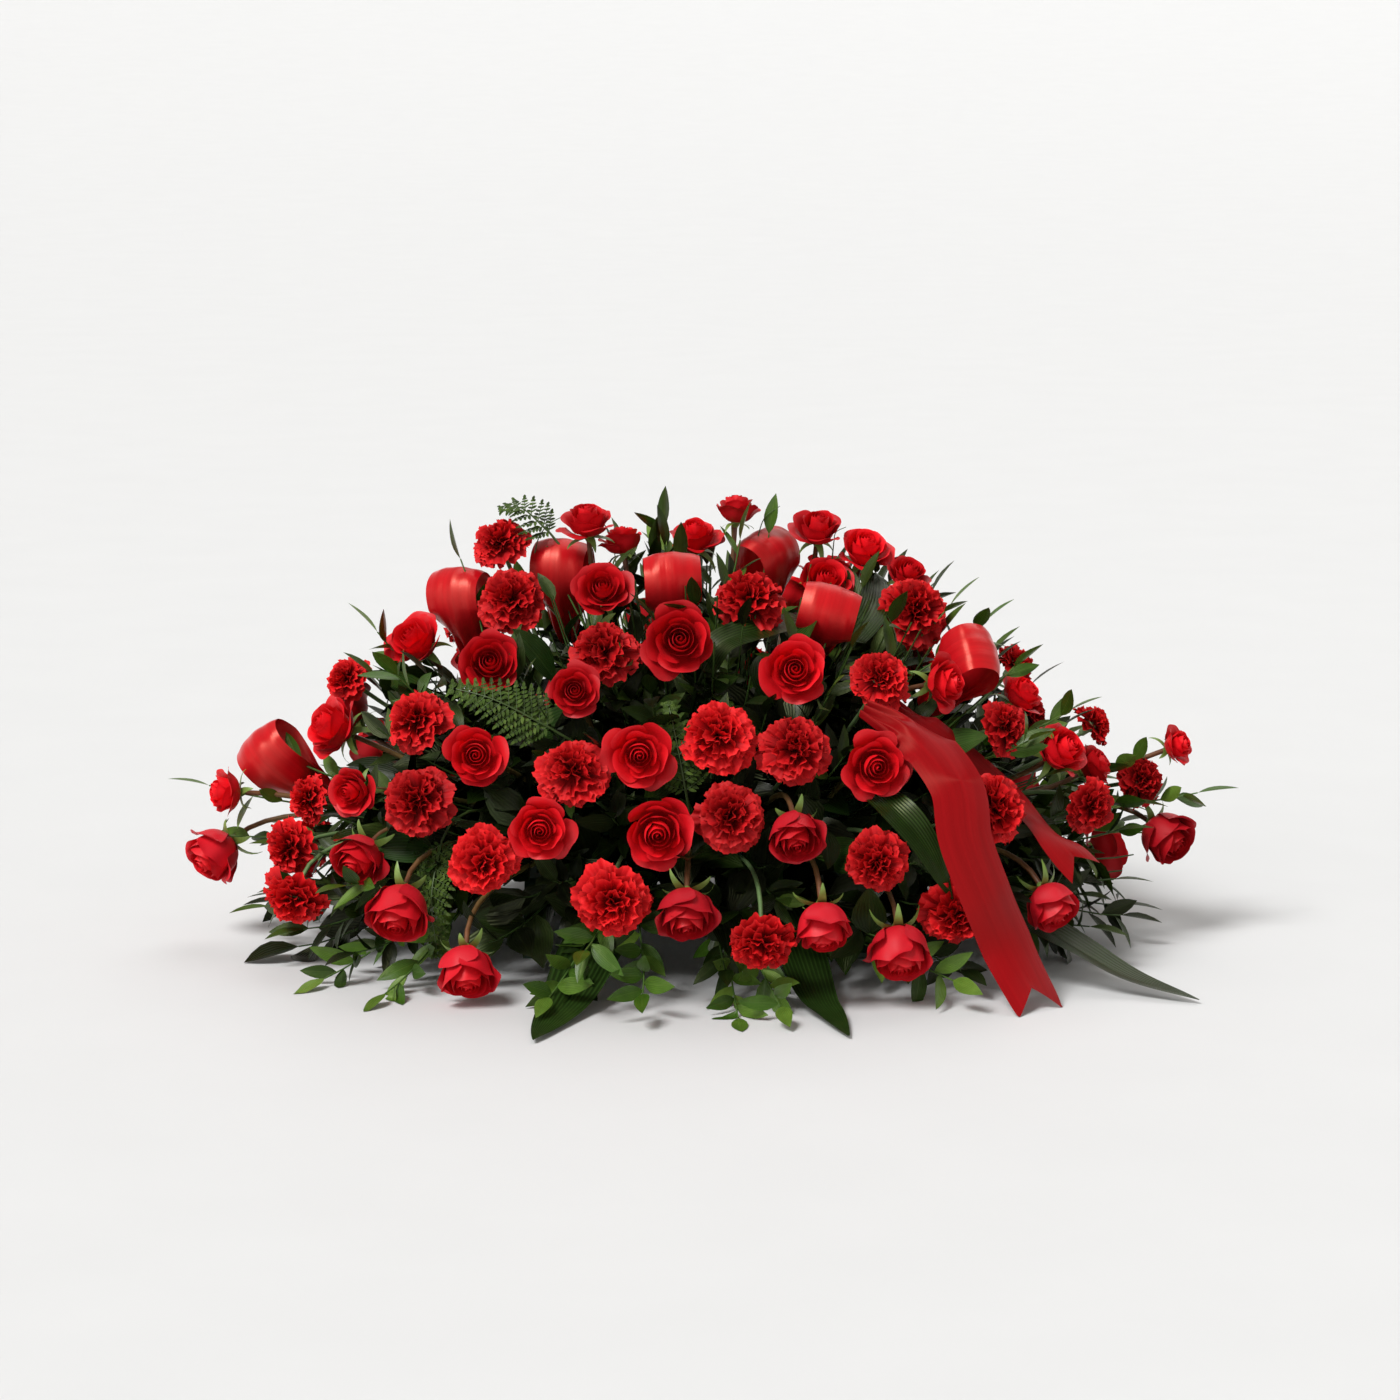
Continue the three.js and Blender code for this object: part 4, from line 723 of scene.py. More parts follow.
def carnation_green(skin, bloom, _):
    """The slim calyx under a carnation."""
    calyx(skin, bloom, [0.16, 0.34, 0.5, 0.72, 0.9, 1.0], [0.30, 0.26, 0.21, 0.19, 0.17, 0.09])


def flower_stem(skin, bloom, foot, thick, rng):
    """A stem from the foam to the foot of a head, which lies a share of its radius under its
    middle; the stem is woodier towards the head, and its own radius is thick."""
    way = bloom["way"]
    end = bloom["place"] - way * foot * bloom["radius"]
    start, out = foam_start(end, rng)
    points = arc(start, out, end, way, 14)
    tube(skin, points, thick, tint=bloom["tint"], wood=np.linspace(0.2, 1, len(points))[:, None])


def paint(code):
    """A linear colour from an sRGB hex value."""
    channels = [int(code[i : i + 2], 16) / 255 for i in (1, 3, 5)]
    linear = [c / 12.92 if c <= 0.04045 else ((c + 0.055) / 1.055) ** 2.4 for c in channels]
    return (*linear, 1.0)


def place_node(tree, kind, inputs=None, output=0, stops=(), **settings):
    """Adds a node with its settings and links, and gives back one of its outputs. An input is a
    number, a hex colour or the socket linked to it; a ramp has stops of place and colour."""
    node = tree.nodes.new(f"ShaderNode{kind}")
    for key, value in settings.items():
        setattr(node, key, value)
    for key, value in (inputs or {}).items():
        if isinstance(value, bpy.types.NodeSocket):
            tree.links.new(value, node.inputs[key])
        else:
            node.inputs[key].default_value = paint(value) if isinstance(value, str) else value
    if stops:
        elements = node.color_ramp.elements
        while len(elements) < len(stops):
            elements.new(0.5)
        for element, (place, code) in zip(elements, stops):
            element.position, element.color = place, paint(code)
    return node.outputs[output] if node.outputs else None


def new_material(name, *values):
    """A new material, its node tree, and values that are kept at the points of the mesh."""
    material = bpy.data.materials.new(name)
    material.use_nodes = True
    tree = material.node_tree
    tree.nodes.clear()
    return material, tree, *(
        place_node(tree, "Attribute", output="Fac", attribute_name=value) for value in values)


def finish_material(material, **inputs):
    """Ends a material in one Principled shader, and gives the material back; underscores stand
    for spaces in socket names."""
    named = {key.replace("_", " "): value for key, value in inputs.items()}
    shader = place_node(material.node_tree, "BsdfPrincipled", named)
    place_node(material.node_tree, "OutputMaterial", {"Surface": shader})
    return material


def shaded(tree, body, tone):
    """A colour made darker or lighter by a factor."""
    grey = place_node(tree, "CombineColor", {0: tone, 1: tone, 2: tone})
    return place_node(tree, "Mix", {0: 1.0, 6: body, 7: grey}, 2,
                      data_type="RGBA", blend_type="MULTIPLY")


def patterned(tree, body, share, pattern, stops):
    """A colour under a share of a pattern, which its ramp turns to darker and paler tones."""
    tones = place_node(tree, "ValToRGB", {0: pattern}, stops=stops)
    return place_node(tree, "Mix", {0: share, 6: body, 7: tones}, 2,
                      data_type="RGBA", blend_type="SOFT_LIGHT")


def rose_petal_material(shade, body, rim, back):
    """Living rose petal: velvety cells give a soft sheen at glancing angles and deep colour face
    on, with paler outer petals on a half-shut bud. Its colour is painted darker towards the foot of
    each petal as painted shade, brighter at the thin rim as a painted highlight, and brighter in
    the heart of an open rose as a painted glow."""
    material, tree, along, tint, outer, shut = new_material(
        "rose_petal_velvet", "along", "tint", "outer", "shut")
    # the ramp paints shade towards the foot of each petal and a highlight at its thin rim
    colour = place_node(tree, "ValToRGB", {0: along},
                        stops=[(0.0, shade), (0.55, body), (0.93, body), (1.0, rim)])
    pale = place_node(tree, "Math", {0: outer, 1: shut}, operation="MULTIPLY")
    colour = place_node(tree, "Mix", {0: pale, 6: colour, 7: back}, 2, data_type="RGBA")
    # painted glow: the inner petals of an open rose are painted up to 1.42 times brighter, standing
    # in for light that passes through the thin petals
    plain = place_node(tree, "Math", {0: outer, 1: shut}, operation="MAXIMUM")
    glow = place_node(tree, "MapRange", {0: plain, 3: 1.42, 4: 0.95})
    tone = place_node(tree, "MapRange", {0: tint, 3: 0.78, 4: 1.18})
    tone = place_node(tree, "Math", {0: tone, 1: glow}, operation="MULTIPLY")
    colour = shaded(tree, colour, tone)
    # blotches are about 11 mm apart; cells are about 0.05 mm, drawn 1.1 mm apart to show
    places = place_node(tree, "TexCoord", output="Object")
    blotch = place_node(tree, "TexNoise", {"Vector": places, "Scale": 90.0, "Detail": 3.0})
    colour = patterned(tree, colour, 0.35, blotch, [(0.3, shade), (0.7, rim)])
    cells = place_node(tree, "TexNoise", {"Vector": places, "Scale": 900.0, "Detail": 2.0})
    bump = place_node(tree, "Bump", {"Strength": 0.12, "Distance": 0.0006, "Height": cells})
    return finish_material(
        material, Base_Color=colour, Roughness=0.5, Specular_IOR_Level=0.3, Sheen_Weight=0.2,
        Sheen_Roughness=0.35, Sheen_Tint="#FF3844", Normal=bump)


def carnation_petal_material(shade, body, rim):
    """Living carnation petal: thin, matte and papery, so it looks bright scarlet where it catches
    light and dark between the ruffles, with fine veins that run to its edge. Its colour is painted
    darker over the inner half of each petal as painted shade deep in the flower, and brighter at
    the pinked edge as a painted highlight."""
    material, tree, along, across, tint = new_material(
        "carnation_petal_matte", "along", "across", "tint")
    # the ramp paints shade over the inner half of each petal and a highlight at its pinked edge
    colour = place_node(tree, "ValToRGB", {0: along},
                        stops=[(0.0, shade), (0.5, shade), (0.85, body), (1.0, rim)])
    colour = shaded(tree, colour, place_node(tree, "MapRange", {0: tint, 3: 0.78, 4: 1.15}))
    # veins are about 1 mm apart at the edge of a petal 20 mm wide
    fan = place_node(tree, "Math", {0: across, 1: 9.0}, operation="MULTIPLY")
    run = place_node(tree, "CombineXYZ", {0: fan, 1: along, 2: tint})
    veins = place_node(tree, "TexNoise", {"Vector": run, "Scale": 1.0, "Detail": 2.0})
    colour = patterned(tree, colour, 0.6, veins, [(0.35, "#5C5C5C"), (0.65, "#A4A4A4")])
    bump = place_node(tree, "Bump", {"Strength": 0.25, "Distance": 0.0006, "Height": veins})
    return finish_material(
        material, Base_Color=colour, Roughness=0.62, Specular_IOR_Level=0.2, Sheen_Weight=0.12,
        Sheen_Roughness=0.4, Sheen_Tint="#FF4A3C", Normal=bump)


def leaf_material(name, colours, roughness, veins, coat=0.0, stripe=0.4):
    """Living leaf: a waxy skin gives a soft gloss, with a paler midrib and parallel veins that
    show as fine stripes. Colours are of a dark, a middle and a pale leaf and of the midrib."""
    material, tree, across, tint = new_material(name, "across", "tint")
    *tones, midrib = colours
    colour = place_node(tree, "ValToRGB", {0: tint}, stops=list(zip((0.0, 0.5, 1.0), tones)))
    rib = place_node(tree, "Math", {0: across}, operation="ABSOLUTE")
    rib = place_node(tree, "ValToRGB", {0: rib}, stops=[(0.0, "#707070"), (0.09, "#000000")])
    colour = place_node(tree, "Mix", {0: rib, 6: colour, 7: midrib}, 2, data_type="RGBA")
    # blotches are about 17 mm apart
    places = place_node(tree, "TexCoord", output="Object")
    blotch = place_node(tree, "TexNoise", {"Vector": places, "Scale": 60.0, "Detail": 4.0})
    colour = patterned(tree, colour, 0.5, blotch, [(0.3, "#404040"), (0.7, "#B0B0B0")])
    # veins counted across half a leaf, wider apart than real ones on a broad leaf, to show
    lines = place_node(tree, "Math", {0: across, 1: veins * math.pi * 2}, operation="MULTIPLY")
    ridges = place_node(tree, "Math", {0: lines}, operation="SINE")
    colour = patterned(tree, colour, stripe, ridges, [(0.0, "#5A5A5A"), (0.8, "#B8B8B8")])
    bump = place_node(tree, "Bump", {"Strength": 0.35, "Distance": 0.0004, "Height": ridges})
    return finish_material(
        material, Base_Color=colour, Roughness=roughness, Specular_IOR_Level=0.35,
        Specular_Tint="#E4EEB0", Coat_Weight=coat, Coat_Roughness=0.25, Coat_Tint="#F0F4D0",
        Normal=bump)


def satin_material(name, colours, roughness, gloss):
    """Woven satin ribbon: long floats on its face give broad soft highlights that run along the
    band; its dull back is deeper, and the colours given for the tails darker still as painted
    shade."""
    material, tree, across, along = new_material(name, "across", "along")
    # the weave pulls in uneven lines along the band, 3 to 8 mm apart
    wide = place_node(tree, "Math", {0: across, 1: 5.0}, operation="MULTIPLY")
    long = place_node(tree, "Math", {0: along, 1: 1.2}, operation="MULTIPLY")
    run = place_node(tree, "CombineXYZ", {0: wide, 1: long})
    streak = place_node(tree, "TexNoise", {"Vector": run, "Scale": 1.0, "Detail": 2.0})
    pull = place_node(tree, "Bump", {"Strength": 0.2, "Distance": 0.0018, "Height": streak})
    # threads are about 0.15 mm apart, drawn 0.9 mm apart to show
    warp = place_node(tree, "Math", {0: across, 1: 33 * 2 * math.pi}, operation="MULTIPLY")
    ribs = place_node(tree, "Math", {0: warp}, operation="SINE")
    weave = place_node(
        tree, "Bump", {"Strength": 0.04, "Distance": 0.0002, "Height": ribs, "Normal": pull})
    colour = place_node(tree, "ValToRGB", {0: streak}, stops=list(zip((0.3, 0.7), colours)))
    # a quarter turn from the level way, so the highlights stretch along the standing loops
    level = place_node(tree, "Tangent", direction_type="RADIAL", axis="Z")
    return finish_material(
        material, Base_Color=colour, Roughness=roughness, Specular_IOR_Level=gloss,
        Specular_Tint="#FF9C88", Normal=weave, Anisotropic=0.85, Anisotropic_Rotation=0.25,
        Tangent=level)


def stem_material(name, woody, green):
    """Living stem: a smooth green skin with a low gloss, brown where it is woody, which a rose
    stem is towards its head."""
    material, tree, wood, tint = new_material(name, "wood", "tint")
    colour = place_node(tree, "Mix", {0: wood, 6: green, 7: woody}, 2, data_type="RGBA")
    # blotches are about 8 mm apart
    places = place_node(tree, "TexCoord", output="Object")
    blotch = place_node(tree, "TexNoise", {"Vector": places, "Scale": 120.0, "Detail": 3.0})
    colour = patterned(tree, colour, 0.5, blotch, [(0.3, "#505050"), (0.7, "#A8A8A8")])
    colour = shaded(tree, colour, place_node(tree, "MapRange", {0: tint, 3: 0.8, 4: 1.1}))
    bump = place_node(tree, "Bump", {"Strength": 0.2, "Distance": 0.0005, "Height": blotch})
    return finish_material(material, Base_Color=colour, Roughness=0.45, Normal=bump)


def grained_material(name, kind, pattern, output, stops, relief, **finish):
    """A material whose colour and bump follow one fine pattern."""
    material, tree = new_material(name)
    places = place_node(tree, "TexCoord", output="Object")
    grain = place_node(tree, kind, {"Vector": places, **pattern}, output)
    colour = place_node(tree, "ValToRGB", {0: grain}, stops=stops)
    strength, distance = relief
    bump = place_node(
        tree, "Bump", {"Strength": strength, "Distance": distance, "Height": grain})
    return finish_material(material, Base_Color=colour, Normal=bump, **finish)


def foam_material():
    """Phenolic foam soaked with water: fine open cells make it matte and dark."""
    # cells are about 0.3 mm, drawn 1.2 mm across to show
    return grained_material(
        "wet_phenolic_foam", "TexVoronoi", {"Scale": 800.0}, "Distance",
        [(0.0, "#1C3A22"), (0.6, "#3F6B45")], (0.5, 0.001), Roughness=0.85)


def saddle_material():
    """Moulded polystyrene: even dark green with a fine moulded grain and a satin gloss."""
    # the grain is about 0.5 mm, drawn 1.4 mm across to show
    return grained_material(
        "moulded_polystyrene", "TexNoise", {"Scale": 700.0, "Detail": 2.0}, 0,
        [(0.3, "#1E3826"), (0.7, "#26442E")], (0.15, 0.0004), Roughness=0.42, IOR=1.59)


def tape_material():
    """Waterproof cloth tape: a coated weave with a low gloss."""
    # threads are about 0.8 mm apart, drawn 1.6 mm apart to show
    return grained_material(
        "coated_cloth_tape", "TexWave", {"Scale": 200.0, "Distortion": 0.5}, "Fac",
        [(0.2, "#274C2C"), (0.8, "#33603A")], (0.2, 0.0003), Roughness=0.45)


def floor_material(code):
    """Painted studio floor: pale, matte and even."""
    material, tree = new_material("matte_floor_paint")
    # the paint is uneven over about 17 cm
    places = place_node(tree, "TexCoord", output="Object")
    grain = place_node(tree, "TexNoise", {"Vector": places, "Scale": 6.0, "Detail": 3.0})
    colour = place_node(tree, "Mix", {0: grain, 6: code, 7: "#E0E0E0"}, 2, data_type="RGBA")
    return finish_material(material, Base_Color=colour, Roughness=0.7)


def hex_property(name, description, code):
    """A text property that holds an sRGB hex colour."""
    return bpy.props.StringProperty(name=name, description=description, default=code)


class SprayFlowerSettings(bpy.types.PropertyGroup):
    """Colours of the blooms"""

    # the shade colour is painted shade towards the foot of each petal, deep in a rose
    rose_shade: hex_property("Rose shade", "Colour deep in a rose", "#BC0E1A")
    rose_body: hex_property("Rose", "Colour of the open rose petals", "#CC1420")
    # the rim colour is a painted highlight on the thin petal rims
    rose_rim_highlight: hex_property("Rose rim", "Colour of the thin petal rims", "#DC2430")
    rose_back: hex_property(
        "Rose back", "Colour of the outer petals of a half-shut rose", "#BC1E30")
    # the shade colour is painted shade over the inner half of each petal, deep in a carnation
    carnation_shade: hex_property("Carnation shade", "Colour deep in a carnation", "#960810")
    carnation_body: hex_property("Carnation", "Colour of the carnation petals", "#D0101A")
    # the rim colour is a painted highlight on the pinked edges
    carnation_rim_highlight: hex_property("Carnation rim", "Colour of the pinked edges", "#E6282A")


class SprayGreenSettings(bpy.types.PropertyGroup):
    """Sizes and colours of the greens"""

    ruscus_long: bpy.props.FloatProperty(
        name="Ruscus leaf length", description="Length of a full ruscus leaf", default=0.045,
        min=0.02, max=0.07, unit="LENGTH")
    ruscus_wide: bpy.props.FloatProperty(
        name="Ruscus leaf width", description="Width of a full ruscus leaf", default=0.017,
        min=0.006, max=0.03, unit="LENGTH")
    filler_sprays: bpy.props.IntProperty(
        name="Filler sprays", description="Number of leafy stems under the blooms", default=400,
        min=0, max=600)
    ruscus_colour: hex_property("Ruscus", "Colour of the ruscus leaves", "#4A7022")
    salal_colour: hex_property("Salal", "Colour of the salal leaves", "#2E4E1E")
    fern_colour: hex_property("Fern", "Colour of the fern leaflets", "#3E581C")
    aspidistra_colour: hex_property(
        "Aspidistra", "Colour of the aspidistra blades", "#283E14")
    filler_colour: hex_property("Filler", "Colour of the leaves under the blooms", "#20340C")


class SprayRibbonSettings(bpy.types.PropertyGroup):
    """Size and colour of the ribbon"""

    width: bpy.props.FloatProperty(
        name="Ribbon width", description="Width of the loops", default=RIBBON_WIDTH * MM,
        min=0.04, max=0.08, unit="LENGTH")
    shade: hex_property("Ribbon shade", "Darker colour of the satin", "#B40A16")
    light: hex_property("Ribbon light", "Lighter colour of the satin", "#C8121C")
    # the colours of the dull back of the satin, darkened further as painted shade on the tails
    reverse: hex_property(
        "Ribbon reverse", "Darker colour of the dull side of the satin", "#86060E")
    reverse_and_shade_light: hex_property(
        "Ribbon reverse light", "Lighter colour of the dull side", "#960A12")


class SprayStageSettings(bpy.types.PropertyGroup):
    """Floor and light"""

    floor: hex_property("Floor", "Colour of the floor", "#DCDCDC")
    key_power: bpy.props.FloatProperty(
        name="Key light", description="Strength of the soft light from the upper left",
        default=2.9, min=0.0, max=10.0)
    sky: bpy.props.FloatProperty(
        name="Room light", description="Strength of the light all round", default=0.31,
        min=0.0, max=3.0)


def rng_for(name):
    """Repeatable draws for one piece."""
    return np.random.default_rng(sum((i + 1) * ord(c) for i, c in enumerate(name)))


def build_flowers(kind, petals, stem, head, green, foot, thick):
    """Builds the heads of every bunch of a kind, and then their stems with what is green."""
    greens, nodes, rng = Skin(), [], rng_for(f"{kind}_stems")
    for i, bunch in enumerate(bunches_of([b for b in BLOOMS if b["kind"] == kind]), 1):
        nodes.append(f"{kind}_bunch_{i:02d}")
        skin, draws = Skin(), rng_for(nodes[-1])
        for bloom in bunch:
            head(skin, bloom, draws)
            green(greens, bloom, rng)
            flower_stem(greens, bloom, foot, thick, rng)
        dress(skin.build(f"{kind}_petals_{i:02d}", petals), f"{kind}_petals", nodes[-1])
    dress(greens.build(f"{kind}_stems", stem), None, *nodes)


class SPRAY_OT_roses(bpy.types.Operator):
    """Builds the rose heads of every bunch, then their stems and sepals"""

    bl_idname = "casket_spray.roses"
    bl_label = "Roses"

    def execute(self, context):
        s = context.scene.spray_flowers
        petals = rose_petal_material(s.rose_shade, s.rose_body, s.rose_rim_highlight, s.rose_back)
        stem = stem_material("rose_stem_skin", "#7A4A30", "#7F9A4A")
        build_flowers("rose", petals, stem, rose_head, rose_green, foot=0.8, thick=2.8)
        return {"FINISHED"}


class SPRAY_OT_carnations(bpy.types.Operator):
    """Builds the carnation heads of every bunch, then their stems and calyxes"""

    bl_idname = "casket_spray.carnations"
    bl_label = "Carnations"

    def execute(self, context):
        s = context.scene.spray_flowers
        petals = carnation_petal_material(s.carnation_shade, s.carnation_body, s.carnation_rim_highlight)
        stem = stem_material("carnation_stem_skin", "#6E8A55", "#8FA87A")
        build_flowers(
            "carnation", petals, stem, carnation_head, carnation_green, foot=0.95, thick=2.3)
        return {"FINISHED"}


def drawn_in(profile, share):
    """Depth across a band that is drawn in to a share of its width: the profile, scaled just so
    far that the cloth keeps its own width; one number a column, in shares of the drawn-in width."""
    place = np.linspace(0, 1, len(profile))
    low, high = 0.0, 2.5
    for _ in range(24):
        height = (low + high) / 2
        if np.hypot(np.diff(place), height * np.diff(profile)).sum() < 1 / share:
            low = height
        else:
            high = height
    return low * profile


def band_row(middle, wide, share, gathered, side, over, soft, taken_in=1.0):
    """Points across a ribbon that shows a share of its width: one round arch, or three pleats
    where it is gathered, and soft waves."""
    u = np.linspace(-1, 1, RIBBON_COLUMNS)
    profile = (1 - gathered) * -u**2 + gathered * 0.5 * np.sin(3 * math.pi * u + 0.6)
    depth = drawn_in(profile, share) * wide * share + soft
    return middle + np.outer(u * wide / 2 * share * taken_in, side) + np.outer(depth, over)


def band(rows, name, material):
    """A ribbon from its rows of points."""
    skin = Skin()
    skin.add_grids(np.array(rows)[None], along=np.linspace(0, 1, len(rows))[:, None],
                   across=np.linspace(-1, 1, RIBBON_COLUMNS))
    return skin.build(name, material)


class SPRAY_OT_ribbon_loops(bpy.types.Operator):
    """Builds the satin ribbon loops, each pinched into pleats at its root"""

    bl_idname = "casket_spray.ribbon_loops"
    bl_label = "Ribbon loops"

    def execute(self, context):
        s = context.scene.spray_ribbon
        satin = satin_material(
            "woven_satin_face", [s.shade, s.light], roughness=0.34, gloss=1.0)
        wide = s.width / MM
        u = np.linspace(-1, 1, RIBBON_COLUMNS)
        for name, row in LOOPS.items():
            tall, deep = row[2], row[3]
            _, root, out, width, lean = loop_frame(row)
            phase = rng_for(name).uniform(0, 6.28)
            rows, middles = [], []
            for angle in np.linspace(-math.pi, math.pi, LOOP_ROWS):
                # from the root over the top and back, fuller towards the top
                rise = (1 + math.cos(angle)) / 2
                belly = (deep / 2 * math.copysign(abs(math.sin(angle)) ** 0.85, angle)
                         * (0.45 + 0.76 * rise))
                middle = root + out * tall * rise + lean * (belly + 1.6 * math.sin(angle / 2))
                normal = unit(lean * math.sin(angle) + out * (0.35 + math.cos(angle)) + 1e-6)
                # the band opens from the pinched root to its full width
                share = 0.24 + 0.735 * min(1.0, 1.4 * rise) ** 0.8
                gathered = min(1.0, 0.11 + max(0.0, 1 - rise / 0.4))
                soft = 0.5 * rise * np.cos(2.2 * u + phase + angle)
                rows.append(band_row(middle, wide, share, gathered, width, normal, soft, 0.985))
                middles.append(middle)
            piece = dress(band(rows, f"{name}_satin", satin), "ribbon_satin", name)
        return {"FINISHED"}


class SPRAY_OT_ribbon_tails(bpy.types.Operator):
    """Builds the two ribbon tails, laid over the blooms and cut in swallow tails"""

    bl_idname = "casket_spray.ribbon_tails"
    bl_label = "Ribbon tails"

    def execute(self, context):
        s = context.scene.spray_ribbon
        # the tails show the dull back of the satin, its colours darkened further as painted shade
        satin = satin_material(
            "woven_satin_reverse_and_shade", [s.reverse, s.reverse_and_shade_light], roughness=0.5, gloss=0.4)
        u = np.linspace(-1, 1, RIBBON_COLUMNS)
        for name, (wide, notch, places) in TAILS.items():
            points, ways = curve_through([on_mound(*place) for place in places], TAIL_ROWS)
            # near the floor a tail lies flat
            lying = np.clip(1 - points[:, 2:3] / 60, 0, 1)
            normals = unit(mound_normal(points) * (1 - lying) + np.array([0, 0, 1.0]) * lying)
            rows = []
            for i, (point, way, normal) in enumerate(zip(points, ways, normals)):
                t = i / (len(points) - 1)
                side = unit(np.cross(way, normal))
                share = min(0.98, 0.40 + 2.6 * t)
                gathered = min(1.0, max(0.0, 1 - t / 0.14))
                soft = (1 - lying[i, 0]) * 1.6 * np.sin(1.4 * u + 9 * t) * min(1, 4 * t)
                row = band_row(
                    point, wide, share, gathered, side, np.cross(side, way), soft)
                # the last rows are drawn up in the middle, for the swallow tail
                cut = notch * (1 - np.abs(u)) * np.clip((t - 0.86) / 0.14, 0, 1)
                rows.append(row - np.outer(cut, way))
            piece = dress(band(rows, f"{name}_satin", satin), "ribbon_satin", name)
        return {"FINISHED"}


def leafy_stem(points, rng, count, long, wide, start, tint=0.5):
    """A stem's middle, and its leaves left and right from some share of its way on, with one at
    its tip."""
    steps = 40
    path, ways = curve_through(points, steps)
    t = start + (1 - start) * (np.arange(count) + rng.uniform(-0.25, 0.25, count)) / (count - 0.4)
    at = np.clip(t * (steps - 1), 0, steps - 1).astype(int)
    feet, along = path[at], ways[at]
    overs = unit(mound_normal(feet) + rng.normal(0, 0.28, (count, 3)))
    sides = unit(np.cross(along, overs)) * np.where(np.arange(count) % 2 == 0, 1, -1)[:, None]
    outs = along * rng.uniform(0.7, 1.2, (count, 1)) + sides
    outs = unit(outs + overs * rng.normal(0.1, 0.3, (count, 1)))
    size = np.append(rng.uniform(0.78, 1.08, count), 0.95)
    tone = np.clip(rng.normal(tint, 0.2, count + 1), 0, 1)
    return path[::3], (
        np.vstack([feet, path[-1:]]), np.vstack([outs, ways[-1:]]),
        np.vstack([overs, mound_normal(path[-1:])]), size * long, size * wide, tone)


def add_stem(skin, path, foot=1.7, tip=0.8, sides=5, tint=0.5):
    """Adds a thin green stem that tapers from one radius at its foot to another at its tip."""
    tube(skin, path, np.linspace(foot, tip, len(path)), sides, tint=tint, wood=0)


def add_leaves(skin, batch, rows, cols, fold, droop):
    """Adds a batch of leaves to a skin."""
    skin.add_grids(leaf_grids(batch, rows, cols, fold, droop), across=np.linspace(-1, 1, cols),
                   along=np.linspace(0, 1, rows)[:, None], tint=batch[-1][:, None, None])


def spray_ways(tips, leaf, rng):
    """Stem points to each tip of a spray, from one foot in the foam; the last leaf covers the
    rest of the way."""
    ends = [tip - mound_normal(tip) * leaf * 0.6 for tip in tips]
    heart, out = foam_start(ends[0], rng)
    return [arc(heart, out, end, unit(mound_normal(end) + 0.9 * unit(end - heart)), 12)
            for end in ends]


def build_sprays(kind, front, back, material, stems_name, stem, leaf, growth, shape, room=None):
    """Builds the leaves of every spray of a kind, and then all their stems. Growth is what a
    stem bears, shape is how its leaves are made, and room is what they leave to the heads."""
    stems = Skin()
    sprays = {name: [on_mound(*tip) for tip in tips] for name, tips in front.items()}
    sprays.update({name: list(np.array(tips, float)) for name, tips in back.items()})
    for name, tips in sprays.items():
        skin, rng = Skin(), rng_for(name)
        for way in spray_ways(tips, leaf, rng):
            path, batch = leafy_stem(way, rng, **growth)
            add_stem(stems, path)
            add_leaves(skin, clear_leaves(batch, KEEP_CLEAR, room) if room else batch, **shape)
        dress(skin.build(f"{name}_leaves", material), f"{kind}_leaf", name)
    dress(stems.build(stems_name, stem), f"{kind}_leaf", *sprays)


class SPRAY_OT_ruscus(bpy.types.Operator):
    """Builds the ruscus sprays with their pointed leaves"""

    bl_idname = "casket_spray.ruscus"
    bl_label = "Ruscus"

    def execute(self, context):
        s = context.scene.spray_greens
        colours = ["#2A4214", s.ruscus_colour, "#83A046", "#93A95E"]
        material = leaf_material("ruscus_leaf_wax", colours, roughness=0.33, veins=5, coat=0.25)
        stem = stem_material("ruscus_stem_skin", "#4E6E30", "#5C7E38")
        long, wide = s.ruscus_long / MM, s.ruscus_wide / MM
        build_sprays(
            "ruscus", RUSCUS, BACK_RUSCUS, material, "ruscus_stems", stem, leaf=long, room=0.8,
            growth={"count": 15, "long": long, "wide": wide, "start": 0.38, "tint": 0.58},
            shape={"rows": 8, "cols": 5, "fold": 0.22, "droop": 0.10})
        return {"FINISHED"}


class SPRAY_OT_salal(bpy.types.Operator):
    """Builds the salal twigs with their broad leathery leaves"""

    bl_idname = "casket_spray.salal"
    bl_label = "Salal"

    def execute(self, context):
        colours = ["#1C3010", context.scene.spray_greens.salal_colour, "#4A6C2C", "#7C9256"]
        material = leaf_material(
            "salal_leaf_leather", colours, roughness=0.34, veins=6, coat=0.3)
        stem = stem_material("salal_twig_skin", "#5A4630", "#56692F")
        build_sprays(
            "salal", SALAL, BACK_SALAL, material, "salal_twigs", stem, leaf=80,
            growth={"count": 2, "long": 76, "wide": 46, "start": 0.62},
            shape={"rows": 9, "cols": 7, "fold": 0.18, "droop": 0.12})
        return {"FINISHED"}


def filler_tip(i, count, rng, low, high, bottom, top, ends, lowest):
    """Tip of one leafy stem of a filler layer, spread by the golden angle."""
    turn = i * GOLDEN + 1.1
    if ends:
        turn = math.pi * (i % 2) + ends * math.sin(turn)
    tip = on_ball(bottom + (top - bottom) * (i + 0.5) / count, turn)
    tip = tip * (MOUND + rng.uniform(low, high))
    tip[2] = max(tip[2], lowest)
    return tip


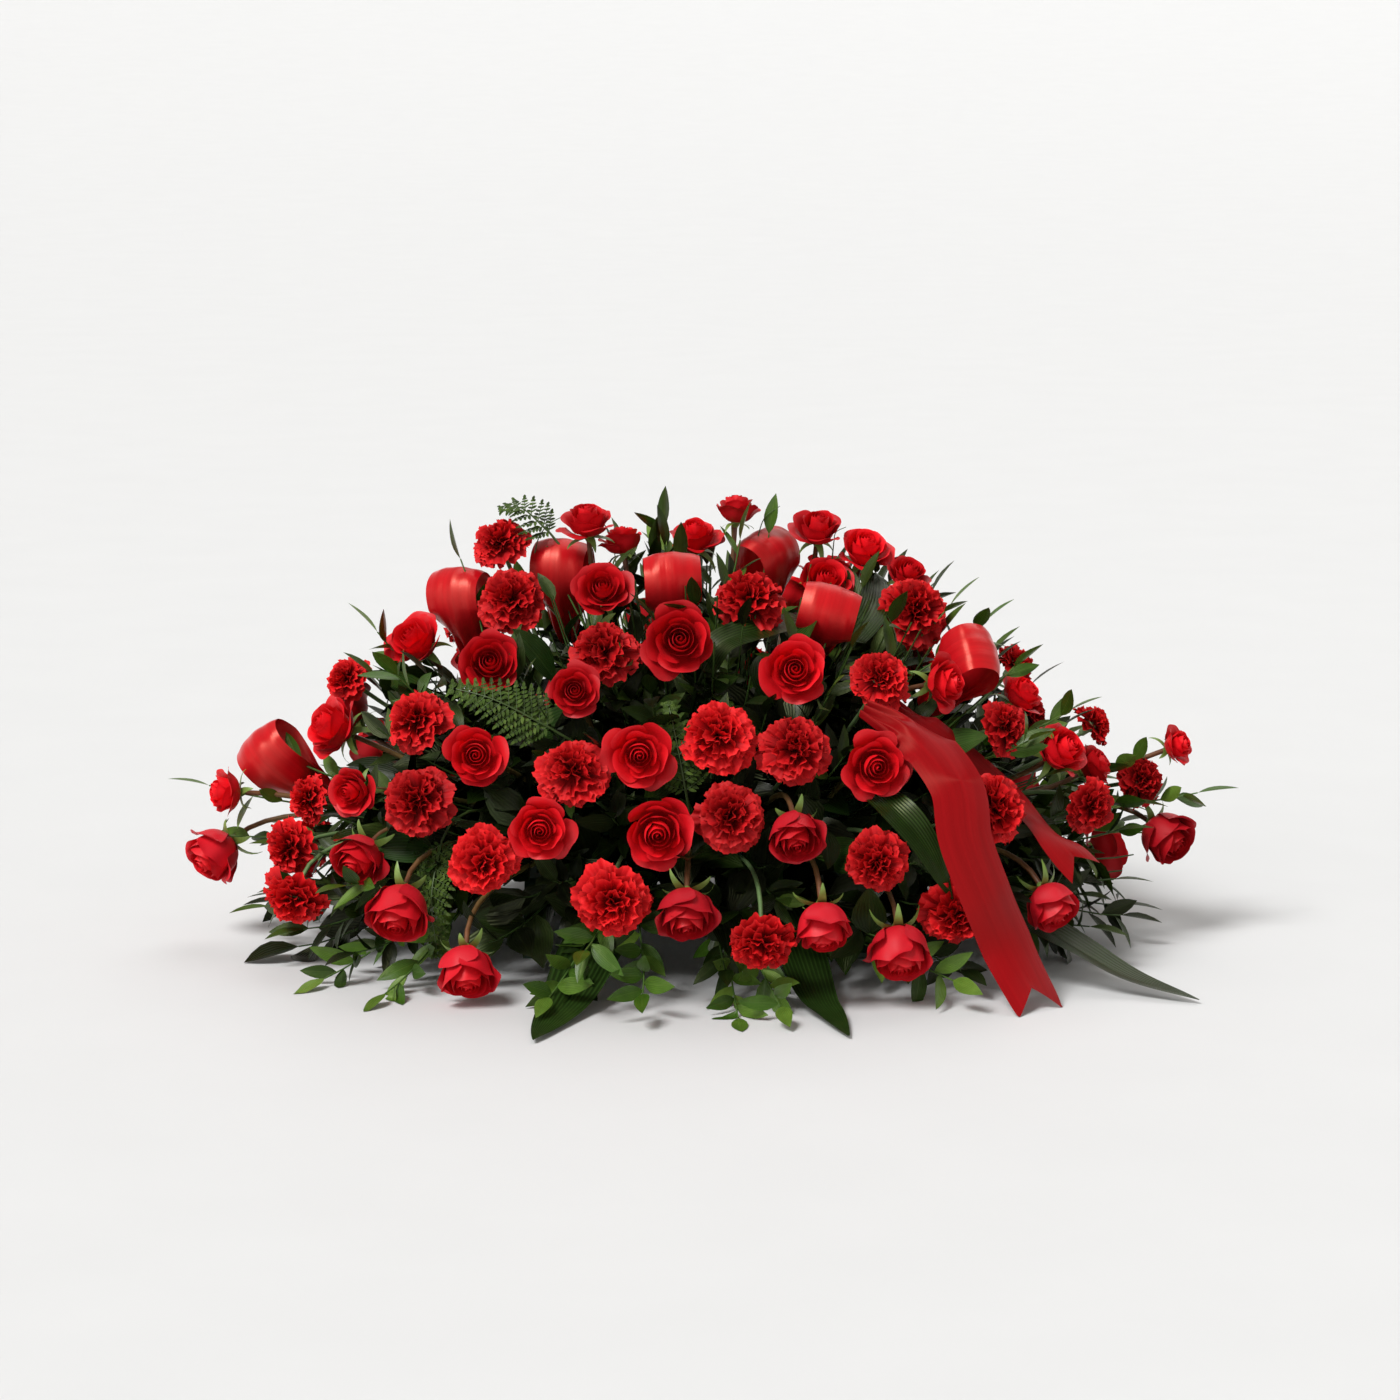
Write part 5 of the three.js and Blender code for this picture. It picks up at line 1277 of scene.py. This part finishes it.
class SPRAY_OT_filler(bpy.types.Operator):
    """Builds the leafy stems that fill the mound under the blooms, and the tendrils on top"""

    bl_idname = "casket_spray.filler"
    bl_label = "Filler leaves"

    def execute(self, context):
        s = context.scene.spray_greens
        rng = rng_for("filler")
        # the darkest tone, nearly black, paints shade on the deep layers of leaves
        colours = ["#090E03", s.filler_colour, "#567028", "#5E7234"]
        material = leaf_material("filler_leaf_wax", colours, roughness=0.40, veins=5, coat=0.15)
        stem = stem_material("filler_stem_skin", "#3C5426", "#48642C")
        stems, skins, made = Skin(), [Skin(), Skin()], 0
        for share, *layer, broad_share, pale in FILLER_LAYERS:
            count = round(s.filler_sprays * share)
            for i in range(count):
                tip = filler_tip(i, count, rng, *layer)
                heart, out = foam_start(tip, rng)
                way = arc(heart, out, tip, mound_normal(tip), 10)
                leaves = BROAD_LEAVES if rng.random() < broad_share else NARROW_LEAVES
                # a layer's paleness sets its tone, so deeper layers are darker as painted shade
                tone = pale + rng.uniform(-0.15, 0.2)
                path, batch = leafy_stem(way, rng, *leaves, start=0.42, tint=tone)
                kept = open_faces(clear_leaves(batch, FACES_CLEAR), rng)
                # a stem that has lost most of its leaves is left out
                if len(kept[0]) < 0.45 * len(batch[0]):
                    continue
                add_stem(stems, path)
                add_leaves(skins[made % 2], kept, rows=6, cols=5, fold=0.25, droop=0.15)
                made += 1
        for places in TENDRILS:
            path, _ = curve_through([on_mound(*place) for place in places], 14)
            add_stem(stems, path, foot=0.8, tip=0.35, tint=0.8)
        for side, skin in zip("ab", skins):
            dress(skin.build(f"filler_leaves_{side}", material), "salal_leaf")
        dress(stems.build("filler_stems", stem), "salal_leaf")
        return {"FINISHED"}


def fern_frond(skin, stems, foot, tip, wide, face, rng):
    """A frond: leaflets in two rows along each of its side ribs."""
    steps, stalk = 40, 8
    middle = (foot + tip) / 2 + mound_normal(foot) * 14
    path, ways = curve_through([foot, middle, tip], steps)
    heart, out = foam_start(foot, rng)
    radii = np.concatenate([np.full(stalk - 1, 1.6), np.linspace(1.3, 0.5, steps // 4)])
    tube(stems, np.vstack([arc(heart, out, foot, ways[0], stalk)[:-1], path[::4]]), radii, 5,
         tint=0.5, wood=0)
    # side ribs about 8 mm apart, shorter towards the tip
    pairs = int(np.clip(np.linalg.norm(tip - foot) / 8, 8, 13))
    leaflets = []
    for i in range(pairs):
        t = 0.04 + 0.93 * i / (pairs - 1)
        spot, along = path[int(t * (steps - 1))], ways[int(t * (steps - 1))]
        over = mound_normal(spot)
        over = unit(over + np.array([0, face, 0]) * max(0.0, over[2] - 0.4))
        side = unit(np.cross(along, over))
        reach = wide / 2 * 1.15 * (1 - 0.86 * t) * (0.62 + 0.38 * min(1, 4 * t + 0.4))
        for hand in (-1, 1):
            rib = unit(side * hand + along * 0.55 - over * 0.10)
            end = spot + rib * reach
            add_stem(stems, np.linspace(spot, end, 4), foot=0.6, tip=0.3, sides=4)
            # leaflets about 4 mm apart, shorter towards the end of the rib
            count = max(4, int(reach / 4.2))
            q = (np.arange(count) + 0.6) / count
            long = (3.0 + 7.4 * (1 - q)) * (0.55 + 0.45 * reach / (wide / 2))
            cross = unit(np.cross(rib, over))
            for way in (-1, 1):
                out = unit(cross * way + rib * 0.75 + rng.normal(0, 0.08, (count, 3)))
                up = unit(over + rng.normal(0, 0.16, (count, 3)))
                leaflets.append((spot + np.outer(q, rib) * reach, out, up, long,
                                 np.full(count, 3.7)))
            leaflets.append((end[None] - rib, rib[None], over[None], [7.0], [3.6]))
    parts = [np.concatenate(part) for part in zip(*leaflets)]
    tone = np.clip(rng.normal(0.5, 0.22, len(parts[0])), 0, 1)
    add_leaves(skin, (*parts, tone), rows=5, cols=3, fold=0.22, droop=0.12)


class SPRAY_OT_ferns(bpy.types.Operator):
    """Builds the fern fronds"""

    bl_idname = "casket_spray.ferns"
    bl_label = "Ferns"

    def execute(self, context):
        colours = ["#2A4016", context.scene.spray_greens.fern_colour, "#6A823A", "#788C46"]
        material = leaf_material("leather_fern_leaf", colours, roughness=0.45, veins=2)
        stem = stem_material("fern_stalk_skin", "#46522A", "#4A602C")
        stems = Skin()
        fronds = {name: (on_mound(*foot), on_mound(*tip), wide, FRONT_FACE)
                  for name, (foot, tip, wide) in FERNS.items()}
        fronds.update({name: (*np.array([foot, tip], float), wide, BACK_FACE)
                       for name, (foot, tip, wide) in BACK_FERNS.items()})
        for name, frond in fronds.items():
            skin = Skin()
            fern_frond(skin, stems, *frond, rng_for(name))
            dress(skin.build(f"{name}_frond", material), "fern_leaf", name)
        dress(stems.build("fern_stalks", stem), "fern_leaf", *fronds)
        return {"FINISHED"}


def aspidistra_blade(skin, wide, way, rng, blunt=0.0):
    """One long blade with its stalk; a folded one stays wide up to both ends."""
    points, ways = curve_through(way, 34)
    t = np.linspace(0, 1, len(points))
    # one that starts high lies on the mound, and the others face up
    level = mound_normal(points) if points[0][2] > FOAM_MIDDLE else np.array([0, 0, 1.0])
    sides = unit(np.cross(ways, level))
    ups = np.cross(sides, ways)
    shape = np.sin(math.pi * t**0.8) ** 0.75
    half = wide / 2 * (shape * (1 - blunt) + blunt * np.minimum(1, 6 * shape))
    half = np.maximum(1.0, half)[:, None]
    fold = half * np.clip(points[:, 2:] / 150, 0.04, 0.2)
    u = np.linspace(-1, 1, 11)
    wave = 1.6 * np.sin(9 * t + rng.uniform(0, 6))[:, None] * np.abs(u) ** 2
    grid = points[:, None, :] + sides[:, None, :] * (half * u)[..., None]
    grid = grid + ups[:, None, :] * (fold * np.abs(u) + wave)[..., None]
    skin.add_grids(grid[None], across=u, along=t[:, None], tint=rng.uniform(0.3, 0.7))
    heart, out = foam_start(points[0], rng)
    tube(skin, arc(heart, out, points[2], ways[2], 8), 2.4, tint=0.5, across=0.5)


class SPRAY_OT_aspidistra(bpy.types.Operator):
    """Builds the long aspidistra blades, and those between the blooms"""

    bl_idname = "casket_spray.aspidistra"
    bl_label = "Aspidistra blades"

    def execute(self, context):
        colours = ["#18280E", context.scene.spray_greens.aspidistra_colour, "#405E2A", "#4A642E"]
        material = leaf_material(
            "aspidistra_leaf_gloss", colours, roughness=0.36, veins=6, coat=0.12, stripe=0.8)
        for name, (wide, way) in BLADES.items():
            skin = Skin()
            aspidistra_blade(skin, wide, way, rng_for(name))
            dress(skin.build(f"{name}_blade", material), "aspidistra_leaf", name)
        skin = Skin()
        for wide, blunt, places in INNER_BLADES:
            way = [on_mound(*place) for place in places]
            aspidistra_blade(skin, wide, way, rng_for("inner_blades"), blunt)
        dress(skin.build("aspidistra_inner_blades", material), "aspidistra_leaf")
        return {"FINISHED"}


class SPRAY_OT_holder(bpy.types.Operator):
    """Gives the foam, the saddle and the tape their materials"""

    bl_idname = "casket_spray.holder"
    bl_label = "Holder"

    def execute(self, context):
        worn = {
            foam_material(): ["floral_foam_left", "floral_foam_right"],
            saddle_material(): ["foam_saddle"],
            tape_material(): ["anchor_tape_left", "anchor_tape_right"],
        }
        for material, nodes in worn.items():
            for node in nodes:
                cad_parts[node].material_slots[0].material = material
        return {"FINISHED"}


def look_at(thing, target):
    """Turns a lamp or camera to a point, its top up."""
    way = Vector(target) - thing.location
    thing.rotation_euler = way.to_track_quat("-Z", "Y").to_euler()


def set_up(name, data, place, target):
    """Puts a lamp or camera in the scene, turned to a point."""
    thing = bpy.data.objects.new(name, data)
    bpy.context.scene.collection.objects.link(thing)
    thing.location = place
    look_at(thing, target)
    return thing


class SPRAY_OT_stage(bpy.types.Operator):
    """Lays the floor, sets the soft light and places the camera"""

    bl_idname = "casket_spray.stage"
    bl_label = "Stage"

    def execute(self, context):
        scene, s = context.scene, context.scene.spray_stage
        turns = np.linspace(0, 2 * math.pi, 96, endpoint=False)
        rows = [np.stack([r * np.cos(turns), r * np.sin(turns), 0 * turns + z], 1) / MM
                for r, z in FLOOR_RINGS]
        skin = Skin()
        skin.add_grids(np.array(rows)[None], closed=True)
        floor = skin.build("studio_floor", floor_material(s.floor), lowest=0.0)
        for name, (place, share, spread) in LIGHTS.items():
            lamp = bpy.data.lights.new(name, "SUN")
            lamp.energy, lamp.angle = s.key_power * share, math.radians(spread)
            set_up(name, lamp, place, (0, 0, 0))
        world = bpy.data.worlds.new("room")
        world.use_nodes = True
        glow = world.node_tree.nodes["Background"].inputs
        glow["Color"].default_value, glow["Strength"].default_value = paint("#F8F6F0"), s.sky
        scene.world = world
        lens = bpy.data.cameras.new("view")
        lens.sensor_width, lens.lens = SENSOR, SENSOR * EYE_DISTANCE / VIEW_SCALE / VIEW_WIDTH
        lens.clip_end = 200
        target = (AIM + VIEW_UP * CAMERA_RISE * VIEW_SCALE) * MM
        scene.camera = set_up("view", lens, EYE * MM, target)
        scene.view_settings.view_transform = "Standard"
        return {"FINISHED"}


OPERATORS = (
    SPRAY_OT_stage, SPRAY_OT_roses, SPRAY_OT_carnations, SPRAY_OT_ribbon_loops,
    SPRAY_OT_ribbon_tails, SPRAY_OT_ruscus, SPRAY_OT_salal, SPRAY_OT_ferns,
    SPRAY_OT_aspidistra, SPRAY_OT_filler, SPRAY_OT_holder,
)
GROUPS = {
    "spray_flowers": SprayFlowerSettings,
    "spray_greens": SprayGreenSettings,
    "spray_ribbon": SprayRibbonSettings,
    "spray_stage": SprayStageSettings,
}


class SPRAY_PT_sidebar(bpy.types.Panel):
    """Lists the settings and the pieces"""

    bl_idname = "SPRAY_PT_sidebar"
    bl_label = "Casket Spray"
    bl_space_type = "VIEW_3D"
    bl_region_type = "UI"
    bl_category = "Casket Spray"

    def draw(self, context):
        for attribute, group in GROUPS.items():
            box = self.layout.box()
            for name in group.__annotations__:
                box.prop(getattr(context.scene, attribute), name)
        for operator in OPERATORS:
            self.layout.operator(operator.bl_idname)


def register():
    """Registers the settings, the operators and the panel."""
    for attribute, group in GROUPS.items():
        bpy.utils.register_class(group)
        setattr(bpy.types.Scene, attribute, bpy.props.PointerProperty(type=group))
    for cls in (*OPERATORS, SPRAY_PT_sidebar):
        bpy.utils.register_class(cls)


def unregister():
    """Removes what register added."""
    for cls in (SPRAY_PT_sidebar, *reversed(OPERATORS)):
        bpy.utils.unregister_class(cls)
    for attribute, group in GROUPS.items():
        delattr(bpy.types.Scene, attribute)
        bpy.utils.unregister_class(group)


def main():
    """Builds every piece."""
    register()
    for operator in OPERATORS:
        family, name = operator.bl_idname.split(".")
        getattr(getattr(bpy.ops, family), name)()


if __name__ == "__main__":
    main()
